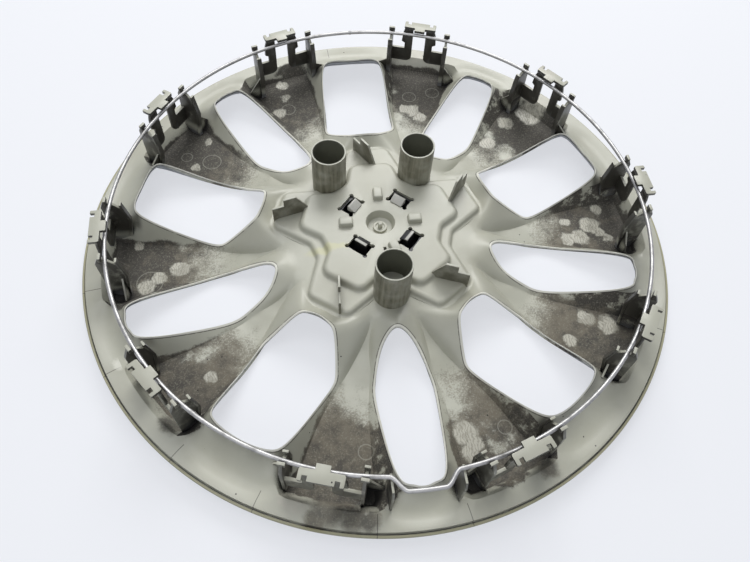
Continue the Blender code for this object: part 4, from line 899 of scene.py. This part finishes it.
for name, outer, height, bore, edge in CUP_PIECES:
    bpy.ops.object.select_all(action="DESELECT")
    bpy.ops.mesh.primitive_cylinder_add(vertices=48, radius=outer, depth=height + CUP_PIECE_SUNK)
    boss = bpy.context.object
    boss.name = name
    boss.data.transform(Matrix.Translation((0.0, 0.0, cup_floor + height / 2 - CUP_PIECE_SUNK / 2)))
    if bore:
        pick_faces(boss, lambda face: face.normal.z > 0.9)
        bpy.ops.mesh.inset(thickness=outer - bore)
        bpy.ops.mesh.extrude_region_move(TRANSFORM_OT_translate={"value": (0.0, 0.0, -BOSS_HOLLOW)})
        bpy.ops.object.mode_set(mode="OBJECT")
    round_edges(boss, edge, 3)
    hub_pieces.append(boss)
for piece in hub_pieces:
    pick(piece)
    bpy.ops.object.shade_smooth_by_angle(angle=math.radians(40.0))
    piece.data.materials.append(greasy_shaded if piece.name.startswith("fin") else polypropylene)
    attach(piece, "root")
    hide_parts("cover")

# Clip groups
# At the outer end of each spoke, two forked posts carry the wire, and a sprung claw with a bridge hooks
# behind the wheel's rim. Gussets stiffen the posts. All of it is moulded on.

RING_RADIUS = 0.19357
RING_HEIGHT = 0.0476
WIRE_RADIUS = 0.0014
WIRE_GAP = 0.0003
SEAT = RING_HEIGHT - WIRE_RADIUS - WIRE_GAP
FOOT_SUNK = 0.0012
POST_SIDE = 0.0243
POST_WALL = 0.0021
POST_INNER = 0.1851
POST_OUTER = 0.1997
POST_KNEE = 0.1822
POST_FOOT = 0.1862
POST_MIDDLE = 0.1930
KNEE_HEIGHT = 0.0274
FORK_INNER = 0.1867
FORK_TOP = 0.0457
FORK_FLOOR = 0.0415
POST_FLANGE = 0.0038
FLAG_WIDTH = 0.0050
FLAG_FOOT = 0.0479
PRONG_TOP = 0.0518
GUSSET_RADIUS = 0.1872
GUSSET_WALL = 0.0014
GUSSET_TOP = 0.0250
GUSSET_TIPS = (0.0360, 0.0340)
GUSSET_END = 0.0022
CLAW_INNER = 0.1962
CLAW_WALL = 0.0022
BRIDGE_TOP = 0.0536
BRIDGE_WALL = 0.0024
# A claw's leg as (across, up), and half of the bridge as (outward, across).
CLAW = [
    (0.0243, 0.0172), (0.0116, 0.0172), (0.0090, 0.0175), (0.0068, 0.0189), (0.0057, 0.0210),
    (0.0056, 0.0232), (0.0056, 0.0524), (0.0124, 0.0524), (0.0144, 0.0464), (0.0152, 0.0377),
    (0.0124, 0.0362), (0.0124, 0.0305), (0.0243, 0.0305),
]
BRIDGE = [
    (0.1914, 0.0044), (0.1952, 0.0044), (0.1952, 0.0130), (0.1962, 0.0136), (0.2022, 0.0136),
    (0.2028, 0.0130), (0.2028, 0.0110), (0.1996, 0.0110), (0.1994, 0.0080), (0.2026, 0.0080),
    (0.2026, 0.0063),
]


def foot_height(x, y):
    """Height just inside the dish under a point of the first spoke's frame."""
    p = about_z(WIDE_AXIS + PITCH / 4) @ Vector((x, y, 0.0))
    height = skin_under(p.x, p.y)
    return (dish_height(p.x, p.y) if height is None else height) - FOOT_SUNK


def across(radius):
    """Frame of a plate that stands across the spoke: X across, Y up, Z outward."""
    rise = Matrix.Rotation(math.radians(90.0), 4, "X")
    return Matrix.Translation((radius, 0.0, 0.0)) @ about_z(90.0) @ rise


# The posts, one on each side of the spoke: a rib with the wire's seat, a flange along its inner edge, a
# flag on its prong, a gusset at its foot and a leg of the claw.
group = []
for side, tip in zip((1.0, -1.0), GUSSET_TIPS):
    y = side * POST_SIDE
    prong = math.sqrt((RING_RADIUS + WIRE_RADIUS + WIRE_GAP) ** 2 - (POST_SIDE - FLAG_WIDTH / 2) ** 2)
    seat_middle = math.sqrt(RING_RADIUS ** 2 - POST_SIDE ** 2)
    rib = [(x, foot_height(x, y)) for x in (POST_OUTER, POST_MIDDLE, POST_FOOT)] + [
        (POST_KNEE + 0.0002, KNEE_HEIGHT), (POST_INNER + 0.0002, FORK_TOP - 0.0002),
        (FORK_INNER, FORK_TOP - 0.0002), (FORK_INNER + 0.0003, FORK_FLOOR),
        (seat_middle - WIRE_RADIUS, SEAT), (prong + 0.0003, SEAT), (prong + 0.0003, PRONG_TOP - 0.0003),
        (prong + 0.0017, PRONG_TOP - 0.0003), (POST_OUTER - 0.0002, SEAT - POST_WALL),
    ]
    group.append(plate("post_rib", rib, POST_WALL, upright((0.0, y, 0.0), 0.0, POST_WALL)))
    foot = foot_height(POST_FOOT, y)
    flange = [
        (POST_FOOT, foot), (POST_KNEE, KNEE_HEIGHT), (POST_INNER, FORK_TOP), (FORK_INNER, FORK_TOP),
        (POST_KNEE + 0.0020, KNEE_HEIGHT), (POST_FOOT + 0.0020, foot),
    ]
    group.append(plate("post_flange", flange, POST_FLANGE, upright((0.0, y, 0.0), 0.0, POST_FLANGE)))
    flag = [
        (prong, FLAG_FOOT), (prong, PRONG_TOP), (prong + 0.0020, PRONG_TOP), (prong + 0.0020, FLAG_FOOT),
    ]
    group.append(plate("post_flag", flag, FLAG_WIDTH, upright((0.0, y, 0.0), 0.0, FLAG_WIDTH)))
    stations = [tip - i * (tip - POST_SIDE) / 8 for i in range(9)]
    web = [(side * s, foot_height(GUSSET_RADIUS, side * s)) for s in stations]
    web += [(y, GUSSET_TOP), (side * tip, web[0][1] + GUSSET_END)]
    group.append(plate("gusset", web, GUSSET_WALL, across(GUSSET_RADIUS - GUSSET_WALL / 2)))
    leg = [(side * s, z) for s, z in CLAW]
    group.append(plate("claw_leg", leg, CLAW_WALL, across(CLAW_INNER)))
bridge = BRIDGE + [(x, -y) for x, y in reversed(BRIDGE)]
lift = Matrix.Translation((0.0, 0.0, BRIDGE_TOP - BRIDGE_WALL))
group.append(plate("bridge", bridge, BRIDGE_WALL, lift))

bpy.ops.object.select_all(action="DESELECT")
for piece in group:
    piece.select_set(True)
bpy.context.view_layer.objects.active = group[0]
bpy.ops.object.join()
first_clip = bpy.context.object
first_clip.name = "clip_group_1"
bpy.ops.object.shade_smooth_by_angle(angle=math.radians(35.0))
first_clip.data.materials.clear()
first_clip.data.materials.append(polypropylene)
clips = [first_clip]
for number in range(2, 2 * PAIRS + 1):
    clips.append(add_object("clip_group_%d" % number, first_clip.data.copy()))
for number, clip in enumerate(clips):
    degrees = WIDE_AXIS + PITCH * (number // 2) + PITCH / 4 * (1 if number % 2 == 0 else -1)
    if number % 2:
        clip.data.transform(Matrix.Scale(-1.0, 4, (0.0, 1.0, 0.0)))
        clip.data.flip_normals()
    clip.data.transform(about_z(degrees))
    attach(clip, "root")
    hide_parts("cover")

# Two short ribs hold the wire beside the valve kink.
KINK_RIB_OFFSETS = (-0.0220, 0.0206)
KINK_RIB_WALL = 0.0015
KINK_RIB_INNER = 0.1900
KINK_RIB_MIDDLE = 0.1965
KINK_RIB_OUTER = 0.2030
for number, offset in enumerate(KINK_RIB_OFFSETS):
    rib = []
    for reach in (KINK_RIB_OUTER, KINK_RIB_MIDDLE, KINK_RIB_INNER):
        rib.append((reach, skin_under(offset, -reach) - FOOT_SUNK))
    rib += [(KINK_RIB_INNER, SEAT), (KINK_RIB_OUTER - 0.0020, SEAT), (KINK_RIB_OUTER, SEAT - 0.0060)]
    stand = upright((offset, 0.0, 0.0), 270.0, KINK_RIB_WALL)
    kink_rib = plate("kink_rib_%d" % (number + 1), rib, KINK_RIB_WALL, stand)
    bpy.ops.object.shade_smooth_by_angle(angle=math.radians(40.0))
    kink_rib.data.materials.append(polypropylene)
    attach(kink_rib, "root")
    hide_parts("cover")

# Retention ring
# Round spring wire, 2.8 mm thick, bent into a ring with a kink for the valve, butt welded and zinc
# plated. It is bright, and a little dulled where handled.

KINK_AXIS = 269.3
KINK_REACH = 0.0084
KINK_ANGLES = (3.0, 6.2)
WELD_ANGLE = 90.1
ZINC = linear("#a09f9d")
ZINC_DULL = linear("#706f6c")

route = []
degrees = 0.0
while degrees < 360.0 - 1e-6:
    away = abs((degrees + 180.0) % 360.0 - 180.0)
    t = min(max((KINK_ANGLES[1] - away) / (KINK_ANGLES[1] - KINK_ANGLES[0]), 0.0), 1.0)
    route.append(polar(RING_RADIUS + KINK_REACH * t * t * (3 - 2 * t), KINK_AXIS + degrees))
    degrees += 0.2 if away < 7.0 else 1.0
curve = bpy.data.curves.new("retention_wire", "CURVE")
curve.dimensions = "3D"
curve.bevel_depth = WIRE_RADIUS
curve.bevel_resolution = 6
spline = curve.splines.new("POLY")
spline.points.add(len(route) - 1)
for point, (x, y) in zip(spline.points, route):
    point.co = (x, y, RING_HEIGHT, 1.0)
spline.use_cyclic_u = True
wire = add_object("retention_wire", curve)
pick(wire)
bpy.ops.object.convert(target="MESH")
wire = bpy.context.object

# The upset of the butt weld: a low uneven bead around the wire.
BEAD_RISE = 0.0004
BEAD_UNEVEN = 0.10
bpy.ops.object.select_all(action="DESELECT")
bpy.ops.mesh.primitive_uv_sphere_add(segments=32, ring_count=20, radius=WIRE_RADIUS + BEAD_RISE)
bead = bpy.context.object
bead.name = "weld_bead"
for v in bead.data.vertices:
    uneven = 1.0 + BEAD_UNEVEN * math.sin(5 * math.atan2(v.co.y, v.co.x)) * math.cos(3000.0 * v.co.z)
    v.co = (v.co.x * 0.75 * uneven, v.co.y * 1.25, v.co.z * uneven)
place = Matrix.Translation((*polar(RING_RADIUS, WELD_ANGLE), RING_HEIGHT))
bead.data.transform(place @ about_z(WELD_ANGLE))

# Zinc plate on spring steel gives a grey metal with a soft shine, dulled in patches.
zinc, tree = new_material("zinc_plated_spring_steel")
place = node(tree, "ShaderNodeTexCoord")
mm = node(tree, "ShaderNodeVectorMath", {0: (place, "Object"), "Scale": 1000.0}, operation="SCALE")
# Dulled patches of 12 mm and drawing marks of 0.5 mm.
dull = node(tree, "ShaderNodeTexNoise", {"Vector": mm, "Scale": 1 / 12, "Detail": 6.0, "Roughness": 0.7})
drawn = node(tree, "ShaderNodeTexNoise", {"Vector": mm, "Scale": 1 / 0.5, "Detail": 2.0})
patches = node(tree, "ShaderNodeMapRange", {"Value": dull, "From Min": 0.50, "From Max": 0.72})
tone = node(tree, "ShaderNodeMix", {0: patches, 6: ZINC, 7: ZINC_DULL}, data_type="RGBA")
rough = node(tree, "ShaderNodeMapRange",
             {"Value": dull, "From Min": 0.3, "From Max": 0.7, "To Min": 0.34, "To Max": 0.54})
bump = node(tree, "ShaderNodeBump", {"Strength": 0.12, "Distance": 0.0001, "Height": drawn})
shader = node(tree, "ShaderNodeBsdfPrincipled",
              {"Base Color": tone, "Roughness": rough, "Metallic": 1.0, "Normal": bump})
node(tree, "ShaderNodeOutputMaterial", {0: shader})
for piece in (wire, bead):
    for face in piece.data.polygons:
        face.use_smooth = True
    piece.data.materials.clear()
    piece.data.materials.append(zinc)
    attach(piece, "root")
    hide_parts("retention_ring")

# Centre badge
# A moulded ABS disc on the painted side, with four snap legs that hook over the slots of the hub plate.
# Its back is in the dark; its face is plain, lacquered.

BADGE_RADIUS = 0.0310
BADGE_BACK = 0.0158
BADGE_THICKNESS = 0.0022
# The dome of its face, in rings: how far each lies in from the last, and how far it stands out.
BADGE_DOME = [(0.0022, 0.0007), (0.0060, 0.0008), (0.0080, 0.0006), (0.0080, 0.0003)]
BADGE_EDGE = 0.0005
BADGE_LEG = [
    (0.0267, 0.0146), (0.0267, 0.0332), (0.0255, 0.0333), (0.0202, 0.0305),
    (0.0202, 0.0299), (0.0213, 0.0298), (0.0253, 0.0278), (0.0253, 0.0146),
]
LEG_WIDTH = 0.0098
SOCKET_RADIUS = 0.0352
SOCKET_WALL = 0.0039
SOCKET_HEIGHT = 0.0132
SOCKET_MIDDLE = 0.0204
BADGE_TIP_HIGHLIGHT = linear("#b3b2aa")
BADGE_BLACK_AND_SHADE = linear("#0f0f10")
BADGE_FACE = linear("#b4b5b6")

bpy.ops.object.select_all(action="DESELECT")
bpy.ops.mesh.primitive_cylinder_add(vertices=120, radius=BADGE_RADIUS, depth=BADGE_THICKNESS)
disc = bpy.context.object
disc.name = "centre_badge_disc"
disc.data.transform(Matrix.Translation((0.0, 0.0, BADGE_BACK - BADGE_THICKNESS / 2)))
pick_faces(disc, lambda face: face.normal.z < -0.9)
for inset, out in BADGE_DOME:
    bpy.ops.mesh.inset(thickness=inset)
    bpy.ops.transform.translate(value=(0.0, 0.0, -out))
bpy.ops.object.mode_set(mode="OBJECT")
round_edges(disc, BADGE_EDGE, 3)
badge_pieces = [disc]

# A socket ring stands around the disc, under the hub plate; its black is black ABS and painted shade.
bpy.ops.object.select_all(action="DESELECT")
bpy.ops.mesh.primitive_cylinder_add(vertices=120, radius=SOCKET_RADIUS, depth=SOCKET_HEIGHT)
socket = bpy.context.object
socket.name = "badge_socket"
socket.data.transform(Matrix.Translation((0.0, 0.0, SOCKET_MIDDLE)))
pick_faces(socket, lambda face: abs(face.normal.z) > 0.9)
bpy.ops.mesh.inset(thickness=SOCKET_WALL)
bpy.ops.mesh.bridge_edge_loops()
bpy.ops.object.mode_set(mode="OBJECT")
badge_pieces.append(socket)
for number, degrees in enumerate(SLOT_ANGLES):
    stand = upright((0.0, 0.0, 0.0), degrees, LEG_WIDTH)
    badge_pieces.append(plate("badge_leg_%d" % (number + 1), BADGE_LEG, LEG_WIDTH, stand))

# Moulded ABS is smooth, black behind and lacquered silver in front; the black also stands for painted
# shade.
badge_abs, tree = new_material("moulded_abs")
place = node(tree, "ShaderNodeTexCoord")
mm = node(tree, "ShaderNodeVectorMath", {0: (place, "Object"), "Scale": 1000.0}, operation="SCALE")
spot = node(tree, "ShaderNodeSeparateXYZ", {0: mm})
# Fine mould texture of 0.6 mm; a painted highlight lies on the hooks above the plate, further down on far
# legs.
fine = node(tree, "ShaderNodeTexNoise", {"Vector": mm, "Scale": 1 / 0.6, "Detail": 3.0})
rear = node(tree, "ShaderNodeMapRange",
            {"Value": (spot, 1), "From Min": 8.0, "From Max": 12.0, "To Max": 3.6})
raised = node(tree, "ShaderNodeMath", {0: (spot, 2), 1: rear}, operation="ADD")
lit_tips = node(tree, "ShaderNodeMapRange", {"Value": raised, "From Min": 32.5, "From Max": 32.8})
front = node(tree, "ShaderNodeMapRange", {"Value": (spot, 2), "From Min": 15.5, "From Max": 15.0})
dusty = node(tree, "ShaderNodeMapRange", {"Value": fine, "From Min": 0.4, "From Max": 0.7, "To Max": 0.12})
tone = node(tree, "ShaderNodeMix", {0: lit_tips, 6: BADGE_BLACK_AND_SHADE, 7: BADGE_TIP_HIGHLIGHT}, data_type="RGBA")
tone = node(tree, "ShaderNodeMix", {0: front, 6: tone, 7: BADGE_FACE}, data_type="RGBA")
tone = node(tree, "ShaderNodeMix", {0: dusty, 6: tone, 7: BADGE_BLACK_AND_SHADE}, data_type="RGBA")
bump = node(tree, "ShaderNodeBump", {"Strength": 0.1, "Distance": 0.0001, "Height": fine})
shader = node(tree, "ShaderNodeBsdfPrincipled",
              {"Base Color": tone, "Roughness": 0.38, "Normal": bump, "IOR": 1.53})
node(tree, "ShaderNodeOutputMaterial", {0: shader})
for piece in badge_pieces:
    pick(piece)
    bpy.ops.object.shade_smooth_by_angle(angle=math.radians(40.0))
    piece.data.materials.append(badge_abs)
    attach(piece, "root")
    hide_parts("centre_badge")

# Floor and light
# The cover lies on a plain pale sheet of matte paper. Broad soft lamps stand behind and above it, and a
# weak one fills the front.

FLOOR = linear("#eff1f6")
SKY = linear("#e9ecf6")
DIM_SKY = linear("#e4e9f4")
FLECK = linear("#ffffff")
FLOOR_SIZE = 8.0
FLOOR_DROP = 0.0004

bpy.ops.object.select_all(action="DESELECT")
bpy.ops.mesh.primitive_plane_add(size=FLOOR_SIZE, location=(0.0, 0.0, -FLOOR_DROP))
floor = bpy.context.object
floor.name = "floor"
sheet, tree = new_material("matte_paper_sheet")
place = node(tree, "ShaderNodeTexCoord")
# Paper fibre of 1.1 mm, 900 to the metre. The camera sees part of the paper's white as its own light.
fibre = node(tree, "ShaderNodeTexNoise", {"Vector": (place, "Object"), "Scale": 900.0, "Detail": 3.0})
fleck = node(tree, "ShaderNodeMapRange", {"Value": fibre, "From Min": 0.3, "From Max": 0.7, "To Max": 0.1})
tone = node(tree, "ShaderNodeMix", {0: fleck, 6: FLOOR, 7: FLECK}, data_type="RGBA")
paper = node(tree, "ShaderNodeBsdfPrincipled", {"Base Color": tone, "Roughness": 0.9})
glow = node(tree, "ShaderNodeEmission", {"Color": FLOOR, "Strength": 1.0})
ray = node(tree, "ShaderNodeLightPath")
seen = node(tree, "ShaderNodeMath", {0: (ray, "Is Camera Ray"), 1: 0.68}, operation="MULTIPLY")
both = node(tree, "ShaderNodeMixShader", {0: seen, 1: paper, 2: glow})
node(tree, "ShaderNodeOutputMaterial", {0: both})
floor.data.materials.append(sheet)

world = bpy.data.worlds.new("studio")
bpy.context.scene.world = world
world.use_nodes = True
tree = world.node_tree
tree.nodes.clear()
ray = node(tree, "ShaderNodeLightPath")
seen = node(tree, "ShaderNodeMath", {0: (ray, "Is Camera Ray"), 1: (ray, "Is Glossy Ray")},
            operation="MAXIMUM")
seen = node(tree, "ShaderNodeMath", {0: seen, 1: (ray, "Is Transmission Ray")}, operation="MAXIMUM")
pale = node(tree, "ShaderNodeBackground", {"Color": SKY, "Strength": 1.0})
dim = node(tree, "ShaderNodeBackground", {"Color": DIM_SKY, "Strength": 0.26})
both = node(tree, "ShaderNodeMixShader", {0: seen, 1: dim, 2: pale})
node(tree, "ShaderNodeOutputWorld", {0: both})

# Name, place, width, depth, watts and colour of each lamp. All of them face the cover.
LAMPS = [
    ("back_softbox", (0.30, 1.15, 1.20), 1.2, 0.8, 21.5, (1.0, 0.998, 0.99)),
    ("top_softbox", (-0.30, 0.35, 1.60), 0.9, 0.9, 7.5, (0.99, 0.995, 1.0)),
    ("front_fill", (-0.50, -1.20, 1.15), 1.2, 0.8, 5.5, (0.98, 0.99, 1.0)),
]
for name, where, width, depth, power, colour in LAMPS:
    lamp = bpy.data.lights.new(name, "AREA")
    lamp.shape = "RECTANGLE"
    lamp.size = width
    lamp.size_y = depth
    lamp.energy = power
    lamp.color = colour
    holder = add_object(name, lamp)
    holder.location = where
    holder.rotation_euler = (-Vector(where)).to_track_quat("-Z", "Y").to_euler()

# Camera
# A hand-held phone view, from in front and well above, rolled a little.

CAMERA_PLACE = Vector((-0.059545, -0.287728, 0.420809))
CAMERA_AZIMUTH = math.radians(-11.547)
CAMERA_ELEVATION = math.radians(58.296)
CAMERA_ROLL = math.radians(4.299)
CAMERA_LENS = 31.331
CAMERA_SENSOR = 36.0

back = Vector((
    math.sin(CAMERA_AZIMUTH) * math.cos(CAMERA_ELEVATION),
    -math.cos(CAMERA_AZIMUTH) * math.cos(CAMERA_ELEVATION),
    math.sin(CAMERA_ELEVATION),
))
side = Vector((math.cos(CAMERA_AZIMUTH), math.sin(CAMERA_AZIMUTH), 0.0))
rise = back.cross(side)
right = math.cos(CAMERA_ROLL) * side + math.sin(CAMERA_ROLL) * rise
up = math.cos(CAMERA_ROLL) * rise - math.sin(CAMERA_ROLL) * side
lens = bpy.data.cameras.new("camera")
lens.sensor_fit = "HORIZONTAL"
lens.sensor_width = CAMERA_SENSOR
lens.lens = CAMERA_LENS
lens.clip_start = 0.01
camera = add_object("camera", lens)
camera.matrix_world = Matrix.Translation(CAMERA_PLACE) @ Matrix((right, up, back)).transposed().to_4x4()
bpy.context.scene.camera = camera
bpy.context.scene.view_settings.view_transform = "Standard"
